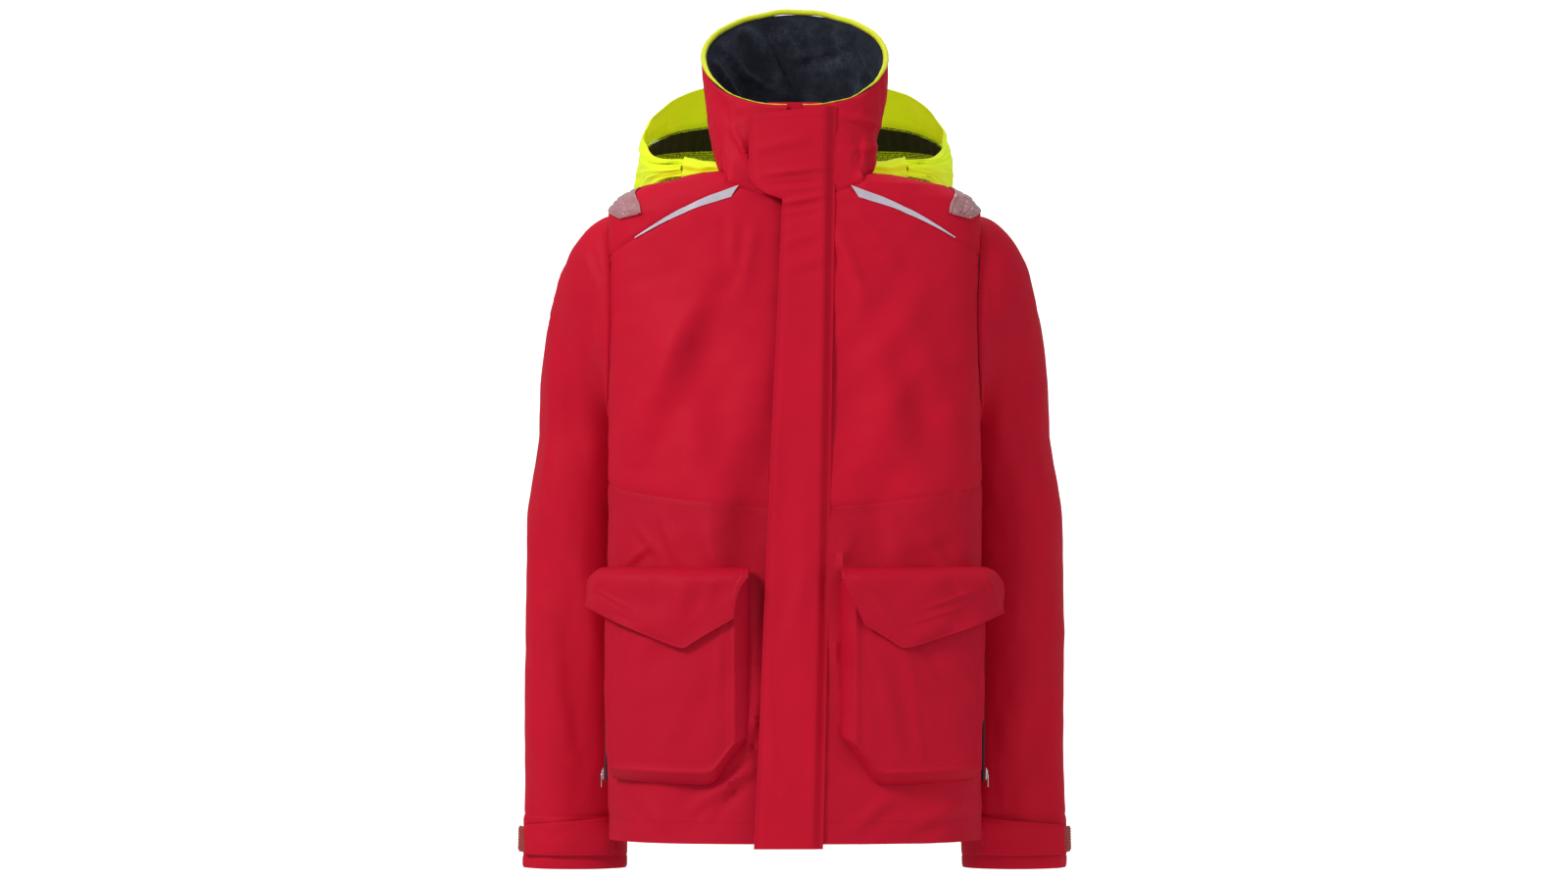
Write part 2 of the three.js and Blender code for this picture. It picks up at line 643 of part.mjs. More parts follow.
for (const [word, side] of SIDES) {
  const low = stripEdge(-1);
  const high = stripEdge(1);
  addPanel(`reflective_strip_${word}`, {
    low, high, start: straight(low(0), high(0)), end: straight(low(1), high(1)),
  }, [12, 1], finish(SILVER, 0.3, 0.4), { ...TRIM_LAYER, side });

  const outerRidge = [degToRad(97), -PATCH_TIP_DROP];
  const innerRidge = [degToRad(95), -PATCH_TOP_DROP];
  const outerEdge = joined(
    straight([degToRad(66), -PATCH_FOOT_DROP], outerRidge),
    straight(outerRidge, [degToRad(128), -PATCH_FOOT_DROP]),
    0.5,
  );
  const innerFront = (t) => {
    const height = lerp(-PATCH_FOOT_DROP + 5, -PATCH_TOP_DROP, t);
    const across = lerp(CHEST_HALF_WIDTH - PATCH_REACH, halfWidth(height), t ** 3);
    return [Math.min(frontAngle(across, height), innerRidge[0]), height];
  };
  const innerBack = (t) => {
    const [angle, height] = innerFront(1 - t);
    return [2 * innerRidge[0] - angle, height];
  };
  const innerEdge = joined(innerFront, innerBack, 0.5);
  addPanel(`shoulder_patch_${word}`, {
    low: outerEdge,
    high: innerEdge,
    start: straight(outerEdge(0), innerEdge(0)),
    end: straight(outerEdge(1), innerEdge(1)),
  }, [10, 3], finish(CLEAR, 0.15), { inner: LAYER_GAP + 1, outer: LAYER_GAP + 2.8, gap: 0, side });
}

// ---------------------------------------------------------------- cargo pockets

const POUCH_OUTER_ANGLE = degToRad(68);
const POUCH_FOOT_DROP = POCKET_TOP_DROP + POUCH_HEIGHT;
const POUCH_CHAMFER = 56;
const POUCH_CHAMFER_SHARE = 0.2;
const POUCH_BREAKS = [0, 0.05, 0.1, 0.2, 0.33, 0.46, 0.6, 0.74, 0.86, 0.93, 1];
const POUCH_UP_BREAKS = [0, 0.05, 0.1, 0.35, 0.7, 1];
const PATCH_ROOM = 0.7;           // between the pouch, its loop strip, the hook strip and the flap
const POCKET_FLAP_OUT = LAYER_GAP + SHELL_THICK + POUCH_DEPTH + 2 * THIN + 3 * PATCH_ROOM;

function spreadOver(breaks) {
  return through(breaks.map((at, k) => [k / (breaks.length - 1), at]));
}

function pouchAngle(u, height) {
  return lerp(frontAngle(POUCH_INNER_X, height), POUCH_OUTER_ANGLE, u);
}

const pouchFoot = through([
  [0, -POUCH_FOOT_DROP + POUCH_CHAMFER],
  [POUCH_CHAMFER_SHARE, -POUCH_FOOT_DROP],
  [1, -POUCH_FOOT_DROP],
]);

// how far the pouch has risen from its sewn edge, 0 to 1
function pouchRise(u, v) {
  return clamp(Math.min(u / 0.08, (1 - u) / 0.08, v / 0.08), 0, 1);
}

// the flap runs past both sides of the pouch; its foot comes to a point nearer the front
const flapFoot = through([[0, 5], [0.09, 50], [0.24, FLAP_DROP], [1, 50]]);
const POCKET_FLAP_RISE = 13;
const FLAP_BREAKS = [0, 0.04, 0.09, 0.16, 0.24, 0.36, 0.48, 0.6, 0.72, 0.84, 0.93, 1];

for (const [word, side] of SIDES) {
  const acrossPouch = spreadOver(POUCH_BREAKS);
  const upPouch = spreadOver(POUCH_UP_BREAKS);
  addMesh(`pocket_pouch_${word}`, sheet(10, 5, (a, b, w) => {
    const u = acrossPouch(a);
    const v = upPouch(b);
    const height = lerp(pouchFoot(u), -POCKET_TOP_DROP, v);
    const out = LAYER_GAP + POUCH_DEPTH * pouchRise(u, v) + w * SHELL_THICK;
    return mirrored(onBody(pouchAngle(u, height), height, out), side);
  }), finish(DARK_RED));

  const acrossFlap = spreadOver(FLAP_BREAKS);
  addMesh(`pocket_flap_${word}`, sheet(11, 3, (a, v, w) => {
    const u = acrossFlap(a);
    const top = -POCKET_TOP_DROP + POCKET_FLAP_RISE;
    const height = lerp(top - flapFoot(u), top, v);
    const angle = lerp(frontAngle(POUCH_INNER_X, height), POUCH_OUTER_ANGLE + degToRad(2), u);
    return mirrored(onBody(angle, height, POCKET_FLAP_OUT + w * SHELL_THICK), side);
  }), finish(DARK_RED));

  const patchEdges = (top, foot) => {
    const low = (t) => [pouchAngle(lerp(0.2, 0.75, t), foot), foot];
    const high = (t) => [pouchAngle(lerp(0.2, 0.75, t), top), top];
    return { low, high, start: straight(low(0), high(0)), end: straight(low(1), high(1)) };
  };
  const stripEdges = patchEdges(-POCKET_TOP_DROP - 12, -POCKET_TOP_DROP - 34);
  const loopsOut = LAYER_GAP + SHELL_THICK + POUCH_DEPTH + PATCH_ROOM;
  const hooksOut = loopsOut + THIN + PATCH_ROOM;
  addPanel(`pocket_loops_${word}`, stripEdges, [9, 1], finish(NAVY, 0.95),
    { inner: loopsOut, outer: loopsOut + THIN, gap: 0, side });
  addPanel(`pocket_hooks_${word}`, stripEdges, [9, 1], finish(NAVY, 0.95),
    { inner: hooksOut, outer: hooksOut + THIN, gap: 0, side });
}

// hand-warmer zips, up the side behind each pouch
const HAND_ZIP_ANGLES = [degToRad(89), degToRad(94)];
const HAND_ZIP_LENGTH = 170;
const HAND_SLIDER_HEIGHT = 14;

function sideBox(angles, heights) {
  const low = straight([angles[0], heights[0]], [angles[1], heights[0]]);
  const high = straight([angles[0], heights[1]], [angles[1], heights[1]]);
  return { low, high, start: straight(low(0), high(0)), end: straight(low(1), high(1)) };
}

for (const [word, side] of SIDES) {
  const foot = -POUCH_FOOT_DROP - 2;
  addPanel(`hand_zip_${word}`, sideBox(HAND_ZIP_ANGLES, [foot, foot + HAND_ZIP_LENGTH]), [3, 6],
    finish(NAVY, 0.7), { ...TRIM_LAYER, side });
  addPanel(`hand_zip_slider_${word}`,
    sideBox([degToRad(90.3), degToRad(93)], [foot + 2, foot + 2 + HAND_SLIDER_HEIGHT]), [2, 1],
    finish(SILVER, 0.3, 0.9),
    { inner: LAYER_GAP + THIN + 1, outer: LAYER_GAP + THIN + 4, gap: 0, side });
}

// ---------------------------------------------------------------- sleeves

const SLEEVE_SPLIT = UNDERARM - SPLIT_BELOW_UNDERARM;
const sleeveOuter = through([[0, -16], [0.06, -11], [0.18, -1], [0.8, 1], [1, 3]]);
const sleeveInner = through([[0, 14], [0.06, 8], [0.18, 2], [0.35, 0], [1, 0]]);
const sleeveHalfDepth = through([
  [0, SLEEVE_HALF_DEPTH_TOP],
  [0.18, lerp(SLEEVE_HALF_DEPTH_TOP, SLEEVE_HALF_DEPTH_CUFF, 0.14)],
  [0.6, lerp(SLEEVE_HALF_DEPTH_TOP, SLEEVE_HALF_DEPTH_CUFF, 0.36)],
  [0.88, lerp(SLEEVE_HALF_DEPTH_TOP, SLEEVE_HALF_DEPTH_CUFF, 0.86)],
  [1, SLEEVE_HALF_DEPTH_CUFF],
]);

// turn 0 is the outer edge and a quarter turn is the back; share 0 is the split, 1 the cuff end
function sleevePoint(turn, share) {
  const outer = CHEST_HALF_WIDTH + SLEEVE_OUT + sleeveOuter(share);
  const inner = CHEST_HALF_WIDTH - SLEEVE_IN - sleeveInner(share);
  return new THREE.Vector3(
    (outer + inner) / 2 + ((outer - inner) / 2) * Math.cos(turn),
    lerp(SLEEVE_Y, CUFF_Y, share) + sleeveHalfDepth(share) * Math.sin(turn),
    lerp(SLEEVE_SPLIT, -SLEEVE_DROP, share),
  );
}

// share 0 is the armhole seam and 1 the split
function sleeveHeadPoint(turn, share) {
  const from = onBody(...armhole(turn, 0.975), 1);
  const to = sleevePoint(turn, 0);
  const reach = from.distanceTo(to);
  const crown = clamp((from.z - ARMHOLE_MIDDLE) / (ARMHOLE_DEPTH / 2), 0, 1);
  const leaving = new THREE.Vector3(0.9, 0, lerp(-0.3, -0.1, crown)).multiplyScalar(
    reach * lerp(0.19, 0.27, crown),
  );
  const arriving = new THREE.Vector3(0, 0, reach * 0.42);
  const bend = new THREE.CubicBezierCurve3(
    from, from.clone().add(leaving), to.clone().add(arriving), to,
  );
  return bend.getPoint(share);
}

function sleeveWall(surface, shares, cells, outs) {
  return ring(cells[0], cells[1], (turn, v, w) => offsetFrom(
    surface, turn, lerp(shares[0], shares[1], v), -lerp(outs[0], outs[1], w), [0.05, 0.01],
  ));
}

function onSleeve(turn, share, out) {
  return offsetFrom(sleevePoint, turn, share, -out, [0.05, 0.01]);
}

const SLEEVE_RUN = SLEEVE_DROP + SLEEVE_SPLIT;
const CUFF_SHARE = 1 - CUFF_HEIGHT / SLEEVE_RUN;
const JOIN_SHARE = 0.5 / SLEEVE_RUN;
const TAB_FROM = degToRad(222);
const TAB_TO = degToRad(333);
const HOOK_TO = degToRad(362);
const TAB_FOOT = 16;
const LOOP_PATCH_OUT = 1.5;
const TAB_OUT = 3.6;
const HOOK_THICK = 2.2;

function aboveCuffEnd(height) {
  return 1 - height / SLEEVE_RUN;
}

function cuffSheet(cells, turns, heights, outs) {
  return sheet(cells[0], cells[1], (u, v, w) => onSleeve(
    lerp(turns[0], turns[1], u),
    aboveCuffEnd(lerp(heights[0], heights[1], v)),
    lerp(outs[0], outs[1], w),
  ));
}

function flipped(geometry) {
  return mapped(geometry, (x, y, z) => new THREE.Vector3(-x, y, z));
}

const wall = [-SHELL_THICK, 0];
const tabPoint = (u, v, w) => onSleeve(
  lerp(TAB_FROM, TAB_TO, u),
  aboveCuffEnd(TAB_FOOT + v * lerp(TAB_HEIGHT, TAB_END_HEIGHT, u)),
  TAB_OUT + w * SHELL_THICK,
);
const sleevePieces = [
  ['sleeve_head', () => sleeveWall(sleeveHeadPoint, [0, 0.995], [18, 5], wall), RED, 0.8],
  ['sleeve', () => sleeveWall(sleevePoint, [JOIN_SHARE * 2, CUFF_SHARE - JOIN_SHARE], [16, 6], wall), RED, 0.8],
  ['cuff_band', () => sleeveWall(sleevePoint, [CUFF_SHARE + JOIN_SHARE, 1], [16, 1], wall), RED, 0.8],
  ['cuff_loops', () => cuffSheet([10, 1], [TAB_FROM + 0.2, HOOK_TO], [TAB_FOOT + 4, TAB_FOOT + TAB_END_HEIGHT - 4],
    [LOOP_PATCH_OUT, LOOP_PATCH_OUT + THIN]), NAVY, 0.95],
  ['cuff_tab', () => sheet(9, 1, tabPoint), RED, 0.8],
  ['cuff_tab_end', () => cuffSheet([4, 1], [TAB_TO + 0.02, HOOK_TO], [TAB_FOOT + 2, TAB_FOOT + TAB_END_HEIGHT - 3],
    [TAB_OUT, TAB_OUT + HOOK_THICK]), ORANGE_RED, 0.6],
];
for (const [stem, build, colour, roughness] of sleevePieces) {
  addMesh(`${stem}_left`, build(), finish(colour, roughness));
  addMesh(`${stem}_right`, flipped(build()), finish(colour, roughness));
}

// ---------------------------------------------------------------- hood, lying back

// half of each edge, from the side of the collar round to the back centre
const HOOD_RIM = [
  [120, -20, 15], [160, 15, 21], [171, 60, 51], [140, 112, 87], [93, 150, 106], [45, 176, 114],
];
const HOOD_RIM_BACK = [0, 185, 116];
const HOOD_FOLD = [
  [124, -18, -2], [158, 22, -12], [168, 85, -50], [150, 150, -105], [105, 190, -135], [50, 208, -144],
];
const HOOD_FOLD_BACK = [0, 212, -145];
const HOOD_BULGE = 14;
const FACE_BAND_SHARE = 0.16;

function wholeEdge(half, middle) {
  const points = half.map(([x, y, z]) => new THREE.Vector3(x, y, z));
  const others = half.map(([x, y, z]) => new THREE.Vector3(-x, y, z)).reverse();
  return new THREE.CatmullRomCurve3([...points, new THREE.Vector3(...middle), ...others]);
}

const hoodRim = wholeEdge(HOOD_RIM, HOOD_RIM_BACK);
const hoodFold = wholeEdge(HOOD_FOLD, HOOD_FOLD_BACK);

// along runs from the left side round the back to the right side; down runs from rim to fold
function hoodPoint(along, down) {
  const at = clamp(along, 0, 1);
  const rim = hoodRim.getPoint(at);
  const fold = hoodFold.getPoint(at);
  const middle = Math.sin(Math.PI * at) ** 0.5;
  const away = new THREE.Vector3(rim.x, Math.max(rim.y, 0) * 0.8, 0).normalize();
  return rim.lerp(fold, down).addScaledVector(away, HOOD_BULGE * middle * Math.sin(Math.PI * down));
}

function hoodSheet(cells, alongs, downs, outs) {
  return sheet(cells[0], cells[1], (u, v, w) => offsetFrom(
    hoodPoint,
    lerp(alongs[0], alongs[1], u),
    lerp(downs[0], downs[1], v),
    -lerp(outs[0], outs[1], w),
    [0.01, 0.01],
  ));
}

const hoodEnds = [0.012, 0.988];
const innerEnds = [0.07, 0.93];
const bandCut = FACE_BAND_SHARE;
addMesh('hood_crown', hoodSheet([18, 4], hoodEnds, [bandCut + 0.01, 1], [-HOOD_THICK, 0]), finish(YELLOW, 0.5));
addMesh('hood_face_band', hoodSheet([18, 1], hoodEnds, [0, bandCut - 0.005], [-HOOD_THICK, 0]), finish(YELLOW, 0.5));
addMesh('hood_mesh', hoodSheet(
  [16, 3], innerEnds, [bandCut + 0.06, 0.92], [-HOOD_LINING_INSET, -HOOD_LINING_INSET + THIN],
), finish(NAVY, 0.9));
addMesh('hood_tape', hoodSheet(
  [16, 1], innerEnds, [bandCut - 0.02, bandCut + 0.05], [-HOOD_LINING_INSET, -HOOD_LINING_INSET + THIN],
), finish(NAVY, 0.8));

// the neck piece runs from the collar seam back to the fold, which hangs from it
const HOOD_NECK_LIFT = 24;         // it arches clear of the shoulders
const HOOD_NECK_ANGLES = [degToRad(118), degToRad(242)];
function hoodNeckPoint(u, v) {
  const angle = lerp(HOOD_NECK_ANGLES[0], HOOD_NECK_ANGLES[1], u);
  const foot = bodyPoint(angle, neckHeight(Math.min(angle, 2 * Math.PI - angle)));
  const outward = new THREE.Vector3(foot.x, foot.y - RIM_MIDDLE_Y, 0).normalize();
  foot.addScaledVector(outward, 6);
  foot.z += 5;
  const fold = hoodFold.getPoint(lerp(0.24, 0.76, u));
  fold.x *= 0.93;
  fold.y -= 12;
  fold.z += 8;
  const lift = Math.sin(Math.PI * v);
  return foot.lerp(fold, v).add(new THREE.Vector3(0, HOOD_NECK_LIFT * 0.5 * lift, HOOD_NECK_LIFT * lift));
}
addMesh('hood_neck', sheet(14, 6, (u, v, w) => offsetFrom(
  hoodNeckPoint, u, v, w * HOOD_THICK, [0.01, 0.01],
)), finish(YELLOW, 0.5));

// ---------------------------------------------------------------- origin at the hanger loop

jacket.position.copy(HANGER).negate();
const part = new THREE.Group();
part.add(jacket);

export default part;
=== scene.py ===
# %% [markdown]
# # A foul weather jacket, sewn piece by piece
# The jacket hangs by the loop inside its collar. It is cut from a light woven cloth with a
# waterproof coating, so it keeps its shape with broad soft folds and sharp little creases only
# where seams hold it. Each piece below is one pattern piece or one fitting of the real jacket.
# Every piece is first laid on a smooth form in millimetres, then pushed in and out by its folds.

# %% Start from the solid model
import math
import bpy
import numpy as np
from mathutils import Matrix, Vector


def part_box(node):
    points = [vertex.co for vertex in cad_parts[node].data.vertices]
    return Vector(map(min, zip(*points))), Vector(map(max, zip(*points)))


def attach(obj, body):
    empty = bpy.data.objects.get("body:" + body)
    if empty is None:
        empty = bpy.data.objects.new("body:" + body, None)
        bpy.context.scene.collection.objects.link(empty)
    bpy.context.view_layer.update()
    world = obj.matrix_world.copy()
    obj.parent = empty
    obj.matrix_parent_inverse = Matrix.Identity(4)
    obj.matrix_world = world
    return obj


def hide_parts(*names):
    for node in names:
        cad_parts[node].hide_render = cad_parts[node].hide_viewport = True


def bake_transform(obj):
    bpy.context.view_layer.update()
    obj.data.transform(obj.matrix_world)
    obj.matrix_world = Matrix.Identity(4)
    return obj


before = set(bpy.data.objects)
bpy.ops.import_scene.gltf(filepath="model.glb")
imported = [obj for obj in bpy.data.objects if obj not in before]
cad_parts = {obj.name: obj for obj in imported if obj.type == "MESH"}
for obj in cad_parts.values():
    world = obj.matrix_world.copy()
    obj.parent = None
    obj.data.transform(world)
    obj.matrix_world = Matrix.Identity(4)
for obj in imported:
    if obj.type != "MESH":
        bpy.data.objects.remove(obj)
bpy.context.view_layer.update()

# %% [markdown]
# ## The form
# A tailor measures down from the side of the neck, so heights here count from that point. The
# hanger loop is the origin of the finished part, and `to_row` makes that last step.

# %% Measures read off the solid model
HANGER = np.array([0.0, 51.0, 30.0])


def mm(node):
    low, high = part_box(node)
    return np.array(low) * 1000 + HANGER, np.array(high) * 1000 + HANGER


def to_row(points):
    return (np.asarray(points) - HANGER) / 1000


SEAM_ROOM = 0.8
hem_low, hem_high = mm("front_lower_left")
HEM = round(hem_low[2] - SEAM_ROOM)
SIDE = round(hem_high[0])
CHEST = SIDE - 2
SIDE_Y = -50.0
FRONT_Y = -114.0
LEAN = 0.0487
UNDERARM = -285.0
WAIST_SIDE = -340.0
WAIST_FRONT = -376.0
CUFF_END = round(mm("cuff_band_left")[0][2])
print("hem at", HEM, "side seam at", SIDE, "cuff ends at", CUFF_END)


# %% Smooth curves through a few stations
def through(stations, soften=0.0):
    at, value = np.array(sorted(stations), float).T
    shifts = np.linspace(-soften, soften, 7) if soften else [0.0]
    return lambda where: sum(np.interp(where + s, at, value) for s in shifts) / len(shifts)


def lerp(start, end, share):
    return start + (end - start) * share


def smooth(share):
    share = np.clip(share, 0, 1)
    return share * share * (3 - 2 * share)


half_width = through([
    (HEM, SIDE), (WAIST_SIDE, SIDE), (UNDERARM, CHEST), (-45, CHEST),
    (-30.15, 196.5), (-14.85, 168.3), (-4.95, 114.6), (0, 80), (24, 74),
])
back_depth = through([(HEM, 150), (WAIST_SIDE, 150), (-90, 160), (-30.15, 145), (12, 125)], 8)


def front_y(height):
    return FRONT_Y + LEAN * height


# %% The body form: angle 0 is the front centre, a quarter turn is the wearer's left
def body_point(angle, height):
    angle, height = np.broadcast_arrays(np.asarray(angle, float), np.asarray(height, float))
    sideways, ahead = np.sin(angle), np.cos(angle)
    power = np.where(ahead > 0, 2 / 2.5, 2 / 1.8)
    depth = np.where(ahead > 0, SIDE_Y - front_y(height), back_depth(height))
    return np.stack([
        half_width(height) * np.sign(sideways) * np.abs(sideways) ** power,
        SIDE_Y - depth * np.sign(ahead) * np.abs(ahead) ** power,
        height,
    ], -1)


def front_angle(x, height):
    return np.arcsin(np.clip(x / half_width(height), 0, 1) ** 1.25)


def unit(vectors):
    return vectors / (np.linalg.norm(vectors, axis=-1, keepdims=True) + 1e-12)


def push_out(surface, first, second, out, nudge=(0.02, 2.0)):
    along = surface(first + nudge[0], second) - surface(first - nudge[0], second)
    up = surface(first, second + nudge[1]) - surface(first, second - nudge[1])
    return surface(first, second) + unit(np.cross(along, up)) * np.asarray(out)[..., None]


neck_stations = through([
    (0, -32), (15, -19.84), (27, -9.92), (35, -5.44), (50, -2.56), (90, 0), (180, 12),
], 2)


def neck_height(angle):
    degrees = np.degrees(angle)
    return neck_stations(np.minimum(degrees, 360 - degrees))


ARM_ANGLE = math.radians(108)
ARM_MIDDLE, ARM_HALF = -165.0, 120.0


def armhole(turn, grow=1.0):
    return (ARM_ANGLE + math.radians(29.5) * grow * np.sin(turn),
            ARM_MIDDLE + ARM_HALF * grow * np.cos(turn))


def waist(t):
    start = front_angle(9, WAIST_FRONT)
    return lerp(start, ARM_ANGLE, t), lerp(WAIST_FRONT, WAIST_SIDE, t)


YOKE_SIDE = -94.0
YOKE_TURN = math.acos((YOKE_SIDE - ARM_MIDDLE) / ARM_HALF)


def yoke_seam(t):
    end_angle, end_height = armhole(2 * math.pi - YOKE_TURN)
    end_x = body_point(end_angle, end_height)[0]
    height = lerp(-23, end_height, t) + 8 * np.sin(np.pi * t)
    angle = front_angle(lerp(62, end_x, t), height)
    return np.where(t > 0.98, end_angle, angle), np.where(t > 0.98, end_height, height)


# %% [markdown]
# ## Folds
# Coated cloth does three things: it stays uneven over a hand's width, it breaks into soft
# ridges with a hollow beside them, and it sinks a little where a seam pulls it in.

# %% Fold shapes
def ripple(across, up, size, seed, waves=7, stretch=1.0):
    chance = np.random.default_rng(seed)
    total = 0
    for _ in range(waves):
        way = chance.uniform(0, 2 * math.pi)
        length = size * chance.uniform(0.6, 1.7)
        run = across * math.cos(way) + up * math.sin(way) / stretch
        total = total + np.sin(2 * math.pi * run / length + chance.uniform(0, 2 * math.pi))
    return total / math.sqrt(waves)


def crease(across, up, start, end, width, height, hollow=0.5):
    run = np.hypot(end[0] - start[0], end[1] - start[1])
    way = ((end[0] - start[0]) / run, (end[1] - start[1]) / run)
    along = ((across - start[0]) * way[0] + (up - start[1]) * way[1]) / run
    aside = (across - start[0]) * way[1] - (up - start[1]) * way[0]
    fade = np.sin(math.pi * np.clip(along, 0, 1)) ** 0.7
    ridge = np.exp(-(aside / width) ** 2)
    beside = np.exp(-((aside - 1.5 * width) / (1.2 * width)) ** 2)
    return height * fade * (ridge - hollow * beside)


def sunk(distance, depth=1.2, reach=3.0):
    return -depth * np.exp(-(distance / reach) ** 2)


# %% [markdown]
# ## From a form to sewn cloth
# `cloth` turns a grid of points into a closed piece of cloth with a face, a back and turned
# edges. Stitch rows are real little threads that lie on the face, so they catch light.

# %% Cloth and stitch builders
def normals_of(grid, wrap=False):
    if wrap:
        padded_grid = np.concatenate([grid[-2:-1], grid, grid[1:2]], 0)
        along = np.gradient(padded_grid, axis=0)[1:-1]
    else:
        along = np.gradient(grid, axis=0)
    return unit(np.cross(along, np.gradient(grid, axis=1)))


def pick(grid, u, v):
    rows, columns = grid.shape[0] - 1, grid.shape[1] - 1
    a, b = np.clip(u, 0, 1) * rows, np.clip(v, 0, 1) * columns
    i, j = np.minimum(a.astype(int), rows - 1), np.minimum(b.astype(int), columns - 1)
    s, t = (a - i)[:, None], (b - j)[:, None]
    return (grid[i, j] * (1 - s) * (1 - t) + grid[i + 1, j] * s * (1 - t)
            + grid[i, j + 1] * (1 - s) * t + grid[i + 1, j + 1] * s * t)


def stitches(path, up, pitch=3.6, length=2.5, width=0.75, proud=0.3):
    steps = np.linalg.norm(np.diff(path, axis=0), axis=1)
    walked = np.concatenate([[0], np.cumsum(steps)])
    count = max(1, int(walked[-1] / pitch))
    centre = (np.arange(count) + 0.5) * walked[-1] / count

    def at(distance, values):
        return np.stack([np.interp(distance, walked, values[:, k]) for k in range(3)], 1)

    middle = at(centre, path)
    lift = unit(at(centre, up))
    way = unit(at(centre + 0.5 * length, path) - at(centre - 0.5 * length, path))
    side = unit(np.cross(way, lift))
    ends = 0.5 * length * way
    wide = 0.5 * width * side
    corners = np.stack([
        middle - ends - 0.3 * lift, middle - wide * 1.0 - 0.2 * lift, middle + ends - 0.3 * lift,
        middle + wide * 1.0 - 0.2 * lift, middle - 0.3 * ends + proud * lift,
        middle + 0.3 * ends + proud * lift,
    ], 1)
    shape = [(0, 1, 4), (1, 2, 5), (1, 5, 4), (2, 3, 5), (3, 0, 4), (3, 4, 5), (0, 3, 2, 1)]
    faces = [tuple(6 * k + c for c in face) for k in range(count) for face in shape]
    return corners.reshape(-1, 3), faces


def row_of(grid, lift, u, v, **how):
    u, v = np.broadcast_arrays(np.asarray(u, float), np.asarray(v, float))
    return stitches(pick(grid, u, v), pick(lift, u, v), **how)


def new_mesh(name, points, faces, slots, uses, layout=None, sharp=35.0):
    mesh = bpy.data.meshes.new(name)
    mesh.from_pydata(to_row(points).tolist(), [], faces)
    for material in slots:
        mesh.materials.append(material)
    mesh.polygons.foreach_set("material_index", np.asarray(uses, np.int32))
    if layout is not None:
        corner = np.empty(len(mesh.loops), np.int32)
        mesh.loops.foreach_get("vertex_index", corner)
        uv = mesh.uv_layers.new(name="cloth")
        uv.data.foreach_set("uv", np.asarray(layout, float)[corner].ravel() / 1000)
    mesh.validate()
    mesh.shade_smooth()
    mesh.set_sharp_from_angle(angle=math.radians(sharp))
    thing = bpy.data.objects.new(name, mesh)
    bpy.context.scene.collection.objects.link(thing)
    return thing


def flat_layout(grid):
    across = np.linalg.norm(np.diff(grid, axis=0), axis=-1).mean(1)
    up = np.linalg.norm(np.diff(grid, axis=1), axis=-1).mean(0)
    return np.stack(np.meshgrid(np.r_[0, np.cumsum(across)], np.r_[0, np.cumsum(up)],
                                indexing="ij"), -1)


def area_of(grid):
    first = np.cross(grid[1:, 1:] - grid[:-1, :-1], grid[:-1, 1:] - grid[1:, :-1])
    return float(np.linalg.norm(first, axis=-1).sum() / 2)


def cloth(name, face, thick, slots, rows=(), wrap=False, lift=None, extras=(), back=None):
    """face is the outer grid in millimetres; slots are face, thread and back materials."""
    lift = normals_of(face, wrap) if lift is None else lift
    inner = face - lift * thick if back is None else back
    n, m = face.shape[:2]
    layout = flat_layout(face)
    if wrap:
        face, inner, layout, n = face[:-1], inner[:-1], layout[:-1], n - 1
    points = [face.reshape(-1, 3), inner.reshape(-1, 3)]
    total = n * m
    faces, uses = [], []
    spans = n if wrap else n - 1
    for i in range(spans):
        k = (i + 1) % n
        for j in range(m - 1):
            a, b, c, d = i * m + j, k * m + j, k * m + j + 1, i * m + j + 1
            faces += [(a, b, c, d), (total + d, total + c, total + b, total + a)]
            uses += [0, 2]
    for j, turned in ((0, False), (m - 1, True)):
        for i in range(spans):
            a, b = i * m + j, ((i + 1) % n) * m + j
            quad = (a, total + a, total + b, b)
            faces.append(quad[::-1] if turned else quad)
            uses.append(0)
    if not wrap:
        for i, turned in ((0, True), (n - 1, False)):
            for j in range(m - 1):
                a, b = i * m + j, i * m + j + 1
                quad = (a, total + a, total + b, b)
                faces.append(quad[::-1] if turned else quad)
                uses.append(0)
    sheets = [layout.reshape(-1, 2)] * 2
    count = 2 * total
    for extra, (corners, shape) in [(1, r) for r in rows] + list(extras):
        points.append(corners)
        sheets.append(corners[:, [0, 2]])
        faces += [tuple(count + c for c in f) for f in shape]
        uses += [extra] * len(shape)
        count += len(corners)
    return new_mesh(name, np.concatenate(points), faces, slots, uses, np.concatenate(sheets))


def mirror(points):
    return points * np.array([-1.0, 1.0, 1.0])


SPARE_CLOTH = 1.02
NARROWEST = 0.011
LEAST_SHARE = 0.31


def sewn(thing, node_names, body, slot_name, face=None):
    """Puts a finished piece on the jacket. The flat size given here is measured from the finished
    face, folds included, so it isn't a separate pattern and can't show that cloth was stretched."""
    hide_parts(*node_names)
    if body:
        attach(thing, body)
    if face is not None:
        size = flat_layout(face)[-1, -1] / 1000
        cut = area_of(face) / 1e6
        wide, tall = (float(max(c, NARROWEST)) for c in size)
        grow = max(1.0, math.sqrt(cut / (wide * tall)))
        wide, tall = wide * grow * SPARE_CLOTH, tall * grow * SPARE_CLOTH
        cut = max(cut, LEAST_SHARE * wide * tall)
        print(f"{thing.name}: cut {wide * 1000:.0f} x {tall * 1000:.0f} mm, {cut * 1e4:.0f} cm2")
    return thing
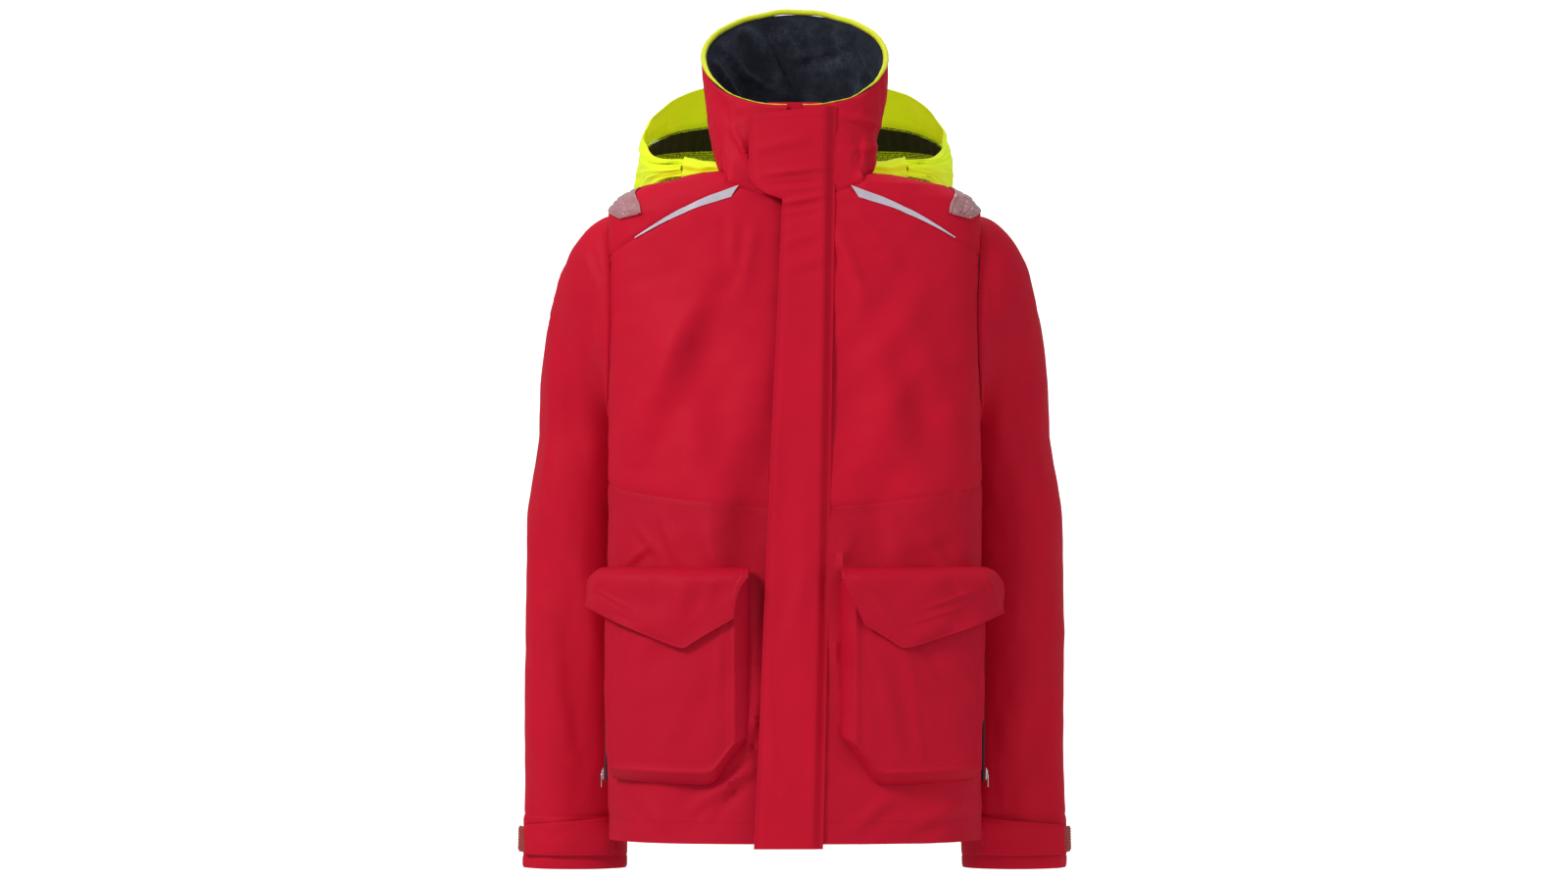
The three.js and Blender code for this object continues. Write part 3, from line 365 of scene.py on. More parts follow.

# %% [markdown]
# ## Cloth finishes
# The shell cloth is a plain weave: over and under threads about half a millimetre apart, a coated
# face that stays matt, and faint cloudiness from the dye. Each finish below is built from those
# causes, so the same recipe with other thread sizes serves for tape, nylon and fleece. The yellow
# nylon also gets a weak emission, a painted glow that brightens its shaded parts.

# %% A small kit for finishes
def finish(name, colour, rough=0.7, metal=0.0):
    material = bpy.data.materials.new(name)
    material.use_nodes = True
    shader = material.node_tree.nodes["Principled BSDF"]
    shader.inputs["Base Color"].default_value = (*colour, 1)
    shader.inputs["Roughness"].default_value = rough
    shader.inputs["Metallic"].default_value = metal
    return material, material.node_tree, shader


def add(tree, kind, **settings):
    node = tree.nodes.new(kind)
    for key, value in settings.items():
        if key in node.inputs:
            node.inputs[key].default_value = value
        else:
            setattr(node, key, value)
    return node


def maths(tree, operation, first, second):
    node = add(tree, "ShaderNodeMath", operation=operation)
    for socket, value in zip(node.inputs, (first, second)):
        if isinstance(value, (int, float)):
            socket.default_value = value
        else:
            tree.links.new(value, socket)
    return node.outputs[0]


def ramp(tree, source, *stops):
    node = add(tree, "ShaderNodeValToRGB")
    tree.links.new(source, node.inputs[0])
    for k, (at, colour) in enumerate(stops):
        stop = node.color_ramp.elements[k] if k < 2 else node.color_ramp.elements.new(at)
        stop.position = at
        stop.color = (*colour, 1)
    return node.outputs[0]


def shades(colour, spread):
    return [tuple(min(1, c * (1 + spread * k)) for c in colour) for k in (-1, 0, 1)]


def woven(name, colour, thread=0.0006, bump=0.25, spread=0.05, rough=0.72, sheen=0.25,
          sheen_colour=None, gloss=0.25, cloud=14):
    material, tree, shader = finish(name, colour, rough)
    place = add(tree, "ShaderNodeUVMap", uv_map="cloth").outputs[0]
    world = add(tree, "ShaderNodeTexCoord").outputs["Object"]
    yarn = []
    for way in ("X", "Y"):
        wave = add(tree, "ShaderNodeTexWave", bands_direction=way, Scale=0.314 / thread,
                   Distortion=0.6)
        wave.inputs["Detail"].default_value = 1
        tree.links.new(place, wave.inputs["Vector"])
        yarn.append(wave.outputs["Fac"])
    weave = maths(tree, "MAXIMUM", yarn[0], yarn[1])
    dye = add(tree, "ShaderNodeTexNoise", Scale=cloud, Detail=5, Roughness=0.62)
    tree.links.new(world, dye.inputs["Vector"])
    fleck = add(tree, "ShaderNodeTexNoise", Scale=1 / (thread * 3), Detail=2)
    tree.links.new(place, fleck.inputs["Vector"])
    mixed = maths(tree, "ADD", maths(tree, "MULTIPLY", dye.outputs["Fac"], 0.6),
                  maths(tree, "MULTIPLY", fleck.outputs["Fac"], 0.4))
    dark, middle, light = shades(colour, spread)
    tree.links.new(ramp(tree, mixed, (0.36, dark), (0.64, light), (0.5, middle)),
                   shader.inputs["Base Color"])
    bumps = add(tree, "ShaderNodeBump", Strength=bump, Distance=thread * 0.35)
    tree.links.new(weave, bumps.inputs["Height"])
    puckers = add(tree, "ShaderNodeTexNoise", Scale=55, Detail=4, Roughness=0.55)
    tree.links.new(world, puckers.inputs["Vector"])
    soft = add(tree, "ShaderNodeBump", Strength=0.25, Distance=0.0012)
    tree.links.new(puckers.outputs["Fac"], soft.inputs["Height"])
    tree.links.new(bumps.outputs[0], soft.inputs["Normal"])
    tree.links.new(soft.outputs[0], shader.inputs["Normal"])
    shader.inputs["Sheen Weight"].default_value = sheen
    shader.inputs["Sheen Roughness"].default_value = 0.45
    shader.inputs["Sheen Tint"].default_value = (*(sheen_colour or shades(colour, 0.4)[2]), 1)
    shader.inputs["Specular IOR Level"].default_value = gloss
    return material


RED = (0.600, 0.0035, 0.026)
LOWER_RED = (0.540, 0.0035, 0.025)
YELLOW = (0.720, 0.900, 0.010)
NAVY = (0.011, 0.012, 0.017)

shell = woven("shell_cloth", RED, sheen=0.10, gloss=0.14, rough=0.62)
lower = woven("lower_cloth", LOWER_RED, sheen=0.10, gloss=0.14, rough=0.62)
thread = woven("red_thread", (0.20, 0.003, 0.010), thread=0.0003, rough=0.6)
coating = woven("coated_back", (0.42, 0.40, 0.40), thread=0.0009, rough=0.5, gloss=0.4)
nylon = woven("yellow_nylon_painted_glow", YELLOW, thread=0.0005, spread=0.07, rough=0.5, sheen=0.3,
              gloss=0.4)
# Painted light: a weak yellow emission makes the nylon glow, so the shaded inside of the hood reads bright.
painted_glow = nylon.node_tree.nodes["Principled BSDF"].inputs
painted_glow["Emission Color"].default_value = (*YELLOW, 1)
painted_glow["Emission Strength"].default_value = 0.30
yellow_thread = woven("yellow_thread", (0.45, 0.60, 0.02), thread=0.0003)
tape = woven("black_tape", (0.016, 0.016, 0.020), thread=0.0010, bump=0.7, spread=0.25,
             rough=0.6, sheen=0.2, sheen_colour=(0.4, 0.42, 0.5))
bristle = woven("hook_and_loop", (0.030, 0.030, 0.036), thread=0.0016, bump=1.0, spread=0.5,
                rough=0.9, sheen=0.8, sheen_colour=(0.4, 0.4, 0.45))
piping_cloth = woven("piping_cloth", (0.80, 0.86, 0.015), thread=0.0008, bump=0.5,
                     spread=0.06, rough=0.45, gloss=0.4)


# %% Fleece: a dark pile whose tips catch a bluish light
def brushed(name, colour, tip):
    material, tree, shader = finish(name, colour, 0.95)
    world = add(tree, "ShaderNodeTexCoord").outputs["Object"]
    pile = add(tree, "ShaderNodeTexNoise", Scale=900, Detail=6, Roughness=0.75)
    brushed_way = add(tree, "ShaderNodeTexNoise", Scale=26, Detail=5, Roughness=0.7)
    for source in (pile, brushed_way):
        tree.links.new(world, source.inputs["Vector"])
    mixed = maths(tree, "MULTIPLY", pile.outputs["Fac"], brushed_way.outputs["Fac"])
    tree.links.new(ramp(tree, mixed, (0.16, colour), (0.40, tip),
                        (0.26, tuple(c * 1.8 for c in colour))), shader.inputs["Base Color"])
    bumps = add(tree, "ShaderNodeBump", Strength=0.9, Distance=0.0010)
    tree.links.new(pile.outputs["Fac"], bumps.inputs["Height"])
    tree.links.new(bumps.outputs[0], shader.inputs["Normal"])
    shader.inputs["Sheen Weight"].default_value = 0.25
    shader.inputs["Sheen Tint"].default_value = (0.35, 0.40, 0.62, 1)
    shader.inputs["Specular IOR Level"].default_value = 0.1
    return material


fleece = brushed("fleece", NAVY, (0.070, 0.078, 0.115))


# %% Mesh: knitted holes that show what lies behind
def knitted(name, colour, hole=0.0016):
    material, tree, shader = finish(name, colour, 0.8)
    place = add(tree, "ShaderNodeUVMap", uv_map="cloth").outputs[0]
    cell = add(tree, "ShaderNodeTexVoronoi", Scale=1 / hole, Randomness=0.25)
    tree.links.new(place, cell.inputs["Vector"])
    net = maths(tree, "GREATER_THAN", cell.outputs["Distance"], 0.46)
    tree.links.new(net, shader.inputs["Alpha"])
    bumps = add(tree, "ShaderNodeBump", Strength=0.6, Distance=0.0004)
    tree.links.new(cell.outputs["Distance"], bumps.inputs["Height"])
    tree.links.new(bumps.outputs[0], shader.inputs["Normal"])
    shader.inputs["Sheen Weight"].default_value = 0.3
    return material


mesh_knit = knitted("mesh_knit", (0.020, 0.021, 0.026))


# %% Fittings: moulded plastic, cast metal, glass-bead film, clear rubber and tab rubber
def moulded(name, colour, rough, metal=0.0, grain=700, bump=0.3, spread=0.1, clear=0.0,
            deep=0.0002):
    material, tree, shader = finish(name, colour, rough, metal)
    world = add(tree, "ShaderNodeTexCoord").outputs["Object"]
    grains = add(tree, "ShaderNodeTexNoise", Scale=grain, Detail=4, Roughness=0.6)
    wear = add(tree, "ShaderNodeTexNoise", Scale=60, Detail=5, Roughness=0.65)
    for source in (grains, wear):
        tree.links.new(world, source.inputs["Vector"])
    dark, middle, light = shades(colour, spread)
    tree.links.new(ramp(tree, wear.outputs["Fac"], (0.35, dark), (0.68, light), (0.5, middle)),
                   shader.inputs["Base Color"])
    rougher = maths(tree, "ADD", rough - 0.08, maths(tree, "MULTIPLY", wear.outputs["Fac"], 0.18))
    tree.links.new(rougher, shader.inputs["Roughness"])
    bumps = add(tree, "ShaderNodeBump", Strength=bump, Distance=deep)
    tree.links.new(grains.outputs["Fac"], bumps.inputs["Height"])
    tree.links.new(bumps.outputs[0], shader.inputs["Normal"])
    shader.inputs["Coat Weight"].default_value = clear
    return material


plastic = moulded("zip_plastic", (0.020, 0.020, 0.024), 0.42)
metal = moulded("zip_metal", (0.62, 0.62, 0.65), 0.30, metal=1.0, grain=1500)
film = moulded("reflective_film", (0.60, 0.55, 0.63), 0.38, metal=0.25, grain=2600, bump=0.6,
               spread=0.05)
clear_rubber = moulded("clear_rubber", (0.46, 0.21, 0.23), 0.22, grain=300, bump=0.15,
                       spread=0.12, clear=0.6)
clear_edge = moulded("clear_edge", (0.50, 0.16, 0.16), 0.25, grain=300, clear=0.5)
tab_rubber = moulded("tab_rubber", (0.40, 0.036, 0.018), 0.55, grain=1300, bump=0.9,
                     spread=0.22, deep=0.0006)
print("finishes made:", len(bpy.data.materials))

# %% [markdown]
# ## Body panels
# Front, yoke and back are cut apart along the waist, the yoke seam and the armholes. Each panel
# is a patch stretched between four seam lines, so neighbours meet exactly where they are sewn.

# %% Where the body cloth folds
SOFT, SHARP, BEHIND = 2.9, 1.7, 1.8


def body_folds(points):
    x, y, z = points[..., 0], points[..., 1], points[..., 2]
    front = smooth((-58 - y) / 40)
    back = smooth((y + 30) / 60)
    chest = smooth((z + 620) / 200) * smooth((-60 - z) / 60)
    skirt = smooth((-360 - z) / 90)
    around = np.where(y < SIDE_Y, x, np.sign(x) * (2 * SIDE - np.abs(x)))
    out = 1.2 * ripple(around, z, 170, 3, stretch=1.8) + 0.35 * ripple(around, z, 46, 5)
    out += skirt * 1.5 * ripple(around, z, 75, 8, stretch=4.0)
    soft = [
        ((-60, -560), (-150, -120), 30, 3.4), ((-110, -520), (-40, -200), 22, 2.6),
        ((-185, -330), (-120, -150), 20, 2.8), ((-150, -260), (-90, -100), 16, 1.6),
        ((70, -120), (150, -420), 30, 3.0), ((120, -160), (185, -300), 20, 2.4),
        ((60, -380), (130, -200), 26, 2.2), ((150, -120), (75, -230), 16, 1.6),
    ]
    for start, end, width, height in soft:
        out += SOFT * front * chest * crease(x, z, start, end, width, height)
    sharp = [
        ((-176, -395), (-150, -430), 4, 1.6), ((-150, -378), (-128, -440), 5, 1.8),
        ((-190, -440), (-160, -415), 4, 1.8), ((-100, -395), (-70, -470), 8, 1.8),
        ((-40, -440), (-58, -700), 6, 2.2), ((-60, -660), (-30, -560), 5, 2.0),
        ((-120, -712), (-40, -655), 7, 3.0), ((-105, -728), (-60, -665), 5, 2.0),
        ((-175, -690), (-140, -735), 6, 1.8), ((60, -400), (45, -460), 5, 2.4),
        ((85, -470), (48, -430), 6, 2.2), ((42, -500), (56, -640), 5, 2.2),
        ((60, -735), (110, -690), 7, 2.0), ((120, -730), (190, -700), 8, 2.2),
        ((180, -470), (140, -400), 8, 2.0), ((100, -370), (120, -450), 9, 1.6),
        ((42, -60), (80, -150), 7, 2.4), ((60, -45), (120, -110), 9, 1.8),
        ((-44, -60), (-60, -140), 7, 1.8), ((-70, -50), (-66, -120), 6, 1.4),
    ]
    for start, end, width, height in sharp:
        out += SHARP * front * crease(x, z, start, end, width, height)
    behind = [
        ((-150, -120), (-40, -330), 26, 4.0), ((150, -110), (30, -300), 24, 3.6),
        ((-90, -350), (-120, -700), 22, 4.0), ((70, -330), (100, -690), 24, 4.2),
        ((-10, -200), (10, -640), 30, 3.0), ((160, -420), (110, -560), 12, 2.4),
        ((-170, -460), (-120, -520), 12, 2.4), ((-60, -60), (60, -70), 10, 2.0),
    ]
    for start, end, width, height in behind:
        out += BEHIND * back * crease(x, z, start, end, width, height)
    return out


# %% Seam lines
def line(start, end):
    return lambda t: (lerp(start[0], end[0], t), lerp(start[1], end[1], t))


def joined(first, second, share):
    def both(t):
        t = np.asarray(t, float)
        a, b = first(np.clip(t / share, 0, 1)), second(np.clip((t - share) / (1 - share), 0, 1))
        return tuple(np.where(t < share, a[k], b[k]) for k in (0, 1))
    return both


def arm_edge(start, end):
    return lambda t: armhole(lerp(start, end, t))


def neck_edge(start, end):
    def edge(t):
        angle = np.radians(lerp(start, end, t))
        return angle, neck_height(angle)
    return edge


def placket(start, end):
    def edge(t):
        height = lerp(start, end, t)
        return front_angle(9, height), height
    return edge


def other_side(edge):
    def mirrored(t):
        angle, height = edge(t)
        return 2 * math.pi - angle, height
    return mirrored


def here(edge, t):
    return tuple(float(c) for c in edge(t))


def patch(edges, u, v):
    low, high, start, end = (edges[k](t) for k, t in
                             (("low", u), ("high", u), ("start", v), ("end", v)))
    corner = [here(edges[k], t) for k in ("low", "high") for t in (0, 1)]
    return [(1 - v) * low[k] + v * high[k] + (1 - u) * start[k] + u * end[k]
            - (1 - u) * ((1 - v) * corner[0][k] + v * corner[2][k])
            - u * ((1 - v) * corner[1][k] + v * corner[3][k]) for k in (0, 1)]


# %% Laying a panel on the form
def grid_uv(cells):
    return np.meshgrid(np.linspace(0, 1, cells[0]), np.linspace(0, 1, cells[1]), indexing="ij")


def edge_distances(grid):
    across = np.linalg.norm(np.diff(grid, axis=0), axis=-1)
    up = np.linalg.norm(np.diff(grid, axis=1), axis=-1)
    start = np.concatenate([np.zeros((1, grid.shape[1])), np.cumsum(across, 0)], 0)
    low = np.concatenate([np.zeros((grid.shape[0], 1)), np.cumsum(up, 1)], 1)
    return start, start[-1:] - start, low, low[:, -1:] - low


def lay(edges, cells, side=1, rise=0.0, sink=("start", "end", "low", "high"), depth=1.3):
    u, v = grid_uv(cells)
    angle, height = patch(edges, u, v)
    form = push_out(body_point, angle, height, np.zeros_like(u))
    lift = push_out(body_point, angle, height, np.ones_like(u)) - form
    out = body_folds(form * [side, 1, 1]) + rise
    for name, distance in zip(("start", "end", "low", "high"), edge_distances(form)):
        if name in sink:
            out = out + sunk(distance, depth)
            out = out + 0.35 * np.exp(-(distance / 9) ** 2) * ripple(form[..., 0] + form[..., 1],
                                                                     form[..., 2], 13, 4)
    face = form + lift * out[..., None]
    return mirror(face)[::-1] if side < 0 else face


def seam_row(face, where, inset, side=1, start=0.01, end=0.99, **how):
    """a stitch row beside one edge of a laid panel"""
    if side < 0 and where in ("start", "end"):
        where = {"start": "end", "end": "start"}[where]
    run = np.linspace(start, end, 160)
    wide = np.linalg.norm(np.diff(face, axis=0), axis=-1).sum(0).mean()
    tall = np.linalg.norm(np.diff(face, axis=1), axis=-1).sum(1).mean()
    u, v = {"start": (inset / wide, run), "end": (1 - inset / wide, run),
            "low": (run, inset / tall), "high": (run, 1 - inset / tall)}[where]
    return row_of(face, normals_of(face), u, v, **how)


SIDES = (("left", 1), ("right", -1))
yoke_start = here(yoke_seam, 0)
placket_neck = math.degrees(float(front_angle(9, -32)))
yoke_neck = math.degrees(yoke_start[0])
shoulder_seam = line(armhole(0), here(neck_edge(108, 108), 0))
shirt_side = line(here(waist, 1), armhole(math.pi))
hem_corner = (ARM_ANGLE, HEM)

front_upper = {
    "low": waist,
    "high": joined(neck_edge(placket_neck, yoke_neck), yoke_seam, 0.22),
    "start": placket(WAIST_FRONT, -32),
    "end": joined(shirt_side, arm_edge(math.pi, 2 * math.pi - YOKE_TURN), 0.25),
}
front_lower = {
    "low": line((float(front_angle(9, HEM)), HEM), hem_corner),
    "high": waist,
    "start": placket(HEM, WAIST_FRONT),
    "end": line(hem_corner, here(waist, 1)),
}
yoke = {
    "low": joined(yoke_seam, arm_edge(2 * math.pi - YOKE_TURN, 2 * math.pi), 0.7),
    "high": neck_edge(yoke_neck, 108),
    "start": line(yoke_start, here(neck_edge(yoke_neck, 108), 0)),
    "end": shoulder_seam,
}
cloth_slots = [shell, thread, coating]
lower_slots = [lower, thread, coating]
for word, side in SIDES:
    face = lay(front_upper, (56, 88), side)
    rows = [seam_row(face, "end", 4, side, 0.30, 0.97), seam_row(face, "start", 3, side)]
    sewn(cloth(f"front_upper_{word}", face, 1.6, cloth_slots, rows),
         [f"front_upper_{word}"], "shell", "shell_red", face)

    face = lay(front_lower, (60, 92), side, sink=("start", "end", "high"))
    rows = [seam_row(face, "high", 4, side), seam_row(face, "high", 7, side),
            seam_row(face, "low", 25, side), seam_row(face, "end", 4, side)]
    sewn(cloth(f"front_lower_{word}", face, 1.8, lower_slots, rows),
         [f"front_lower_{word}"], "shell", "lower_red", face)

    face = lay(yoke, (64, 34), side)
    rows = [seam_row(face, "low", 4, side, 0.01, 0.99), seam_row(face, "end", 3, side)]
    sewn(cloth(f"yoke_{word}", face, 1.6, cloth_slots, rows),
         [f"yoke_{word}"], "shell", "shell_red", face)

# %% The back
back_edge = line(armhole(YOKE_TURN), here(other_side(arm_edge(YOKE_TURN, YOKE_TURN)), 0))
yoke_side = joined(arm_edge(YOKE_TURN, 0), shoulder_seam, 0.6)
blade_side = joined(shirt_side, arm_edge(math.pi, YOKE_TURN), 0.25)
back_waist = line(here(waist, 1), here(other_side(waist), 1))
hem_side = line(hem_corner, here(waist, 1))
back_pieces = {
    "back_yoke": ({"low": back_edge, "high": neck_edge(108, 252), "start": yoke_side,
                   "end": other_side(yoke_side)}, (90, 34), cloth_slots, "shell_red"),
    "back_upper": ({"low": back_waist, "high": back_edge, "start": blade_side,
                    "end": other_side(blade_side)}, (100, 74), cloth_slots, "shell_red"),
    "back_lower": ({"low": line(hem_corner, here(other_side(lambda t: hem_corner), 0)),
                    "high": back_waist, "start": hem_side, "end": other_side(hem_side)},
                   (104, 92), lower_slots, "lower_red"),
}
for name, (edges, cells, slots, slot_name) in back_pieces.items():
    sink = ("start", "end", "high") if name == "back_lower" else ("start", "end", "low", "high")
    face = lay(edges, cells, sink=sink)
    rows = [seam_row(face, "high" if name != "back_yoke" else "low", 4)]
    if name == "back_lower":
        rows += [seam_row(face, "low", 25), seam_row(face, "high", 7)]
    sewn(cloth(name, face, 1.8, slots, rows), [name], "shell", slot_name, face)

# %% [markdown]
# ## Sleeves
# A sleeve is one tube from the armhole to the cuff. Its head leaves the shoulder sideways and
# bends down, then the tube hangs almost straight.

# %% The sleeve tube
SPLIT = UNDERARM - 10
CUFF_TOP = 60
sleeve_outer = through([(0, -16), (0.06, -11), (0.18, -1), (0.8, 1), (1, 3)], 0.03)
sleeve_inner = through([(0, 14), (0.06, 8), (0.18, 2), (0.35, 0), (1, 0)], 0.03)
sleeve_deep = through([(0, 66), (0.18, 62.1), (0.6, 55.9), (0.88, 41.9), (1, 38)], 0.04)


def sleeve_point(turn, share):
    turn, share = np.broadcast_arrays(np.asarray(turn, float), np.asarray(share, float))
    outer = CHEST + 98 + sleeve_outer(share)
    inner = CHEST - 18 - sleeve_inner(share)
    return np.stack([(outer + inner) / 2 + (outer - inner) / 2 * np.cos(turn),
                     lerp(62, 46, share) + sleeve_deep(share) * np.sin(turn),
                     lerp(SPLIT, CUFF_END, share)], -1)


def sleeve_head(turn, share):
    turn, share = np.broadcast_arrays(np.asarray(turn, float), np.asarray(share, float))
    start = body_point(*armhole(turn, 0.995))
    end = sleeve_point(turn, 0 * turn)
    reach = np.linalg.norm(end - start, axis=-1, keepdims=True)
    crown = np.clip((start[..., 2:] - ARM_MIDDLE) / ARM_HALF, 0, 1)
    leaving = np.concatenate([0.9 + 0 * crown, 0 * crown, lerp(-0.3, -0.1, crown)], -1)
    first = start + leaving * reach * lerp(0.19, 0.27, crown)
    second = end + np.array([0, 0, 1]) * reach * 0.42
    s = share[..., None]
    return ((1 - s) ** 3 * start + 3 * s * (1 - s) ** 2 * first
            + 3 * s * s * (1 - s) * second + s ** 3 * end)


sleeve_creases = {
    "left": [((262, -500), (300, -330), 22, 3.2), ((300, -520), (255, -700), 16, -4.0),
             ((236, -150), (232, -330), 12, 2.6), ((270, -160), (258, -420), 20, 2.4),
             ((224, -600), (226, -745), 3, -1.6), ((208, -92), (224, -160), 6, -3.0),
             ((285, -640), (300, -740), 12, 2.4), ((240, -420), (268, -620), 18, 2.0)],
    "right": [((-288, -330), (-226, -770), 20, -4.2), ((-252, -120), (-226, -330), 13, 3.0),
              ((-282, -470), (-250, -690), 14, 3.2), ((-231, -84), (-206, -140), 5, -3.6),
              ((-268, -180), (-282, -420), 16, 2.4), ((-214, -130), (-224, -240), 6, 2.2),
              ((-246, -430), (-218, -560), 9, 2.2), ((-300, -600), (-262, -760), 12, 2.0)],
}


def sleeve_folds(points, word):
    x, y, z = points[..., 0], points[..., 1], points[..., 2]
    girth = np.arctan2(y - 20, x - np.sign(x) * 248) * 60
    out = 1.1 * ripple(girth, z, 150, 21 + len(word), stretch=2.4)
    out += 0.30 * ripple(girth, z, 40, 23)
    ahead, behind = smooth((62 - y) / 30), smooth((y - 62) / 30)
    for start, end, width, height in sleeve_creases[word]:
        out += ahead * crease(x, z, start, end, width, height)
        out += behind * crease(-x * 1.0 - np.sign(x) * -500, z, (abs(start[0]) * np.sign(x[0, 0]),
                               start[1] - 30), (abs(end[0]) * np.sign(x[0, 0]), end[1] - 40),
                               width * 1.2, height)
    return out


TURNS = 72
turning = -np.linspace(0, 2 * math.pi, TURNS + 1)[:, None]
for word, side in SIDES:
    head = sleeve_head(turning, np.linspace(0, 0.985, 40)[None, :])
    last = 1 - CUFF_TOP / (SPLIT - CUFF_END)
    tube = sleeve_point(turning, np.linspace(0, last, 92)[None, :])
    form = np.concatenate([head, tube], 1)
    lift = normals_of(form, wrap=True)
    if side < 0:
        form, lift = mirror(form)[::-1], mirror(lift)[::-1]
    _, _, from_arm, to_cuff = edge_distances(form)
    settle = smooth(from_arm / 25)
    out = sleeve_folds(form, word) * settle + sunk(from_arm, 1.6, 4) + sunk(to_cuff, 1.0, 3)
    out += 0.7 * np.exp(-(from_arm / 16) ** 2) * np.sin(turning * 31 + 2) * (1 - np.exp(-from_arm))
    face = form + lift * out[..., None]
    row = row_of(face, lift, np.linspace(0, 1, 240), 0.985)
    thing = cloth(f"sleeve_{word}", face, 1.8, cloth_slots, [row], wrap=True, lift=lift)
    sewn(thing, [f"sleeve_head_{word}", f"sleeve_{word}"], None, "shell_red", face)
    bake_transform(thing)

    # the cuff band: a doubled hem with two stitch rows
    shares = np.linspace(last, 1, 22)[None, :]
    form = sleeve_point(turning, shares)
    lift = normals_of(form, wrap=True)
    if side < 0:
        form, lift = mirror(form)[::-1], mirror(lift)[::-1]
    _, _, from_top, to_end = edge_distances(form)
    out = 0.2 + sleeve_folds(form, word) * smooth(to_end / 40) + sunk(from_top, 1.2, 3)
    out += 0.5 * ripple(np.degrees(turning) + 0 * form[..., 0], form[..., 2], 40, 33)
    out -= 1.0 * np.exp(-(to_end / 1.6) ** 2) + 0.8 * np.exp(-((to_end - 14) / 1.6) ** 2)
    face = form + lift * out[..., None]
    rows = [row_of(face, lift, np.linspace(0, 1, 240), v) for v in (0.06, 0.76)]
    thing = cloth(f"cuff_band_{word}", face, 2.4, cloth_slots, rows, wrap=True, lift=lift)
    sewn(thing, [f"cuff_band_{word}"], f"sleeve_{word}", "shell_red", face)

# %% [markdown]
# ## Cuff tabs
# The tab is a tapered strap sewn down at the front of the cuff. Its end is a grippy rubber tip
# with hooks behind it, and it presses on a band of loops around the cuff.

# %% Straps on the cuff
SLEEVE_RUN = SPLIT - CUFF_END


def cuff_grid(turns, heights, outs, cells):
    u, v = grid_uv(cells)
    turn = np.radians(lerp(turns[0], turns[1], u))
    height = lerp(heights[0](u), heights[1](u), v)
    form = sleeve_point(turn, 1 - height / SLEEVE_RUN)
    step = 0.02
    around = sleeve_point(turn + step, 1 - height / SLEEVE_RUN) - form
    lift = unit(np.cross(around, np.array([0, 0, 1.0])))
    return form + lift * outs(u, v)[..., None], lift


for word, side in SIDES:
    def tab_out(u, v):
        sag = 0.5 * ripple(u * 90, v * 40, 34, 41 + side)
        dent = sunk(np.minimum(v, 1 - v) * 38, 0.8, 2.2) + sunk((1 - u) * 95, 0.8, 2)
        return lerp(2.6, 5.4, smooth(u / 0.12)) + sag * smooth(u / 0.2) + dent + 0.8 * smooth(u)

    face, lift = cuff_grid((222, 334), (lambda u: 16 + 0 * u, lambda u: 60 - 11 * u), tab_out, (48, 20))
    run = np.linspace(0.03, 0.96, 90)
    rows = [(run, 0.08), (run, 0.92), (0.965, np.linspace(0.08, 0.92, 40)),
            (0.05, np.linspace(0.08, 0.92, 40)), (0.14, np.linspace(0.08, 0.92, 40))]
    if side < 0:
        face, lift = mirror(face)[::-1], mirror(lift)[::-1]
        rows = [(1 - np.asarray(u), v) for u, v in rows]
    threads = [row_of(face, lift, u, v, pitch=3.0, length=2.1) for u, v in rows]
    thing = cloth(f"cuff_tab_{word}", face, 2.0, cloth_slots, threads, lift=lift)
    sewn(thing, [f"cuff_tab_{word}"], None, "shell_red", face)
    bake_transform(thing)

    def tip_out(u, v):
        ribs = 0.35 * np.cos(2 * math.pi * v * 9) * smooth(np.minimum(v, 1 - v) / 0.08)
        edge = sunk((1 - u) * 26, 1.0, 1.6) + sunk(np.minimum(v, 1 - v) * 28, 1.0, 1.6)
        return 5.4 + ribs + edge + 0.6 * u

    rounded = lambda u: 3.5 * np.clip((u - 0.8) / 0.2, 0, 1) ** 2
    face, lift = cuff_grid((332, 362), (lambda u: 18 + rounded(u), lambda u: 47 - rounded(u)),
                           tip_out, (26, 60))
    if side < 0:
        face, lift = mirror(face)[::-1], mirror(lift)[::-1]
    thing = cloth(f"cuff_tab_end_{word}", face, 2.2, [tab_rubber, tab_rubber, bristle], lift=lift)
    sewn(thing, [f"cuff_tab_end_{word}"], f"cuff_tab_{word}", "tab_end")

    fuzz = lambda u, v: 1.7 + 0.3 * np.sin(u * 311) * np.sin(v * 97)
    face, lift = cuff_grid((240, 358), (lambda u: 20 + 0 * u, lambda u: 45 - 2 * u), fuzz, (90, 20))
    if side < 0:
        face, lift = mirror(face)[::-1], mirror(lift)[::-1]
    thing = cloth(f"cuff_loops_{word}", face, 1.0, [bristle, thread, bristle], lift=lift)
    sewn(thing, [f"cuff_loops_{word}"], f"sleeve_{word}", "hook_and_loop")

# %% [markdown]
# ## The front closure
# A moulded zip runs from the hem to the top of the collar between two woven tapes. A storm flap
# sewn on the wearer's left lies over it. Over the collar it is a wide tongue, and it steps in at
# the neck. Under it lie hook and loop strips, and behind the zip an inner flap keeps wind out.

# %% The zip line
LEAN_ANGLE = math.atan(LEAN)
RIM_FRONT = 71.0


def closure(x, out, along):
    x, out, along = np.broadcast_arrays(*(np.asarray(a, float) for a in (x, out, along)))
    c, s = math.cos(LEAN_ANGLE), math.sin(LEAN_ANGLE)
    return np.stack([x, FRONT_Y - out * c + along * s, out * s + along * c], -1)


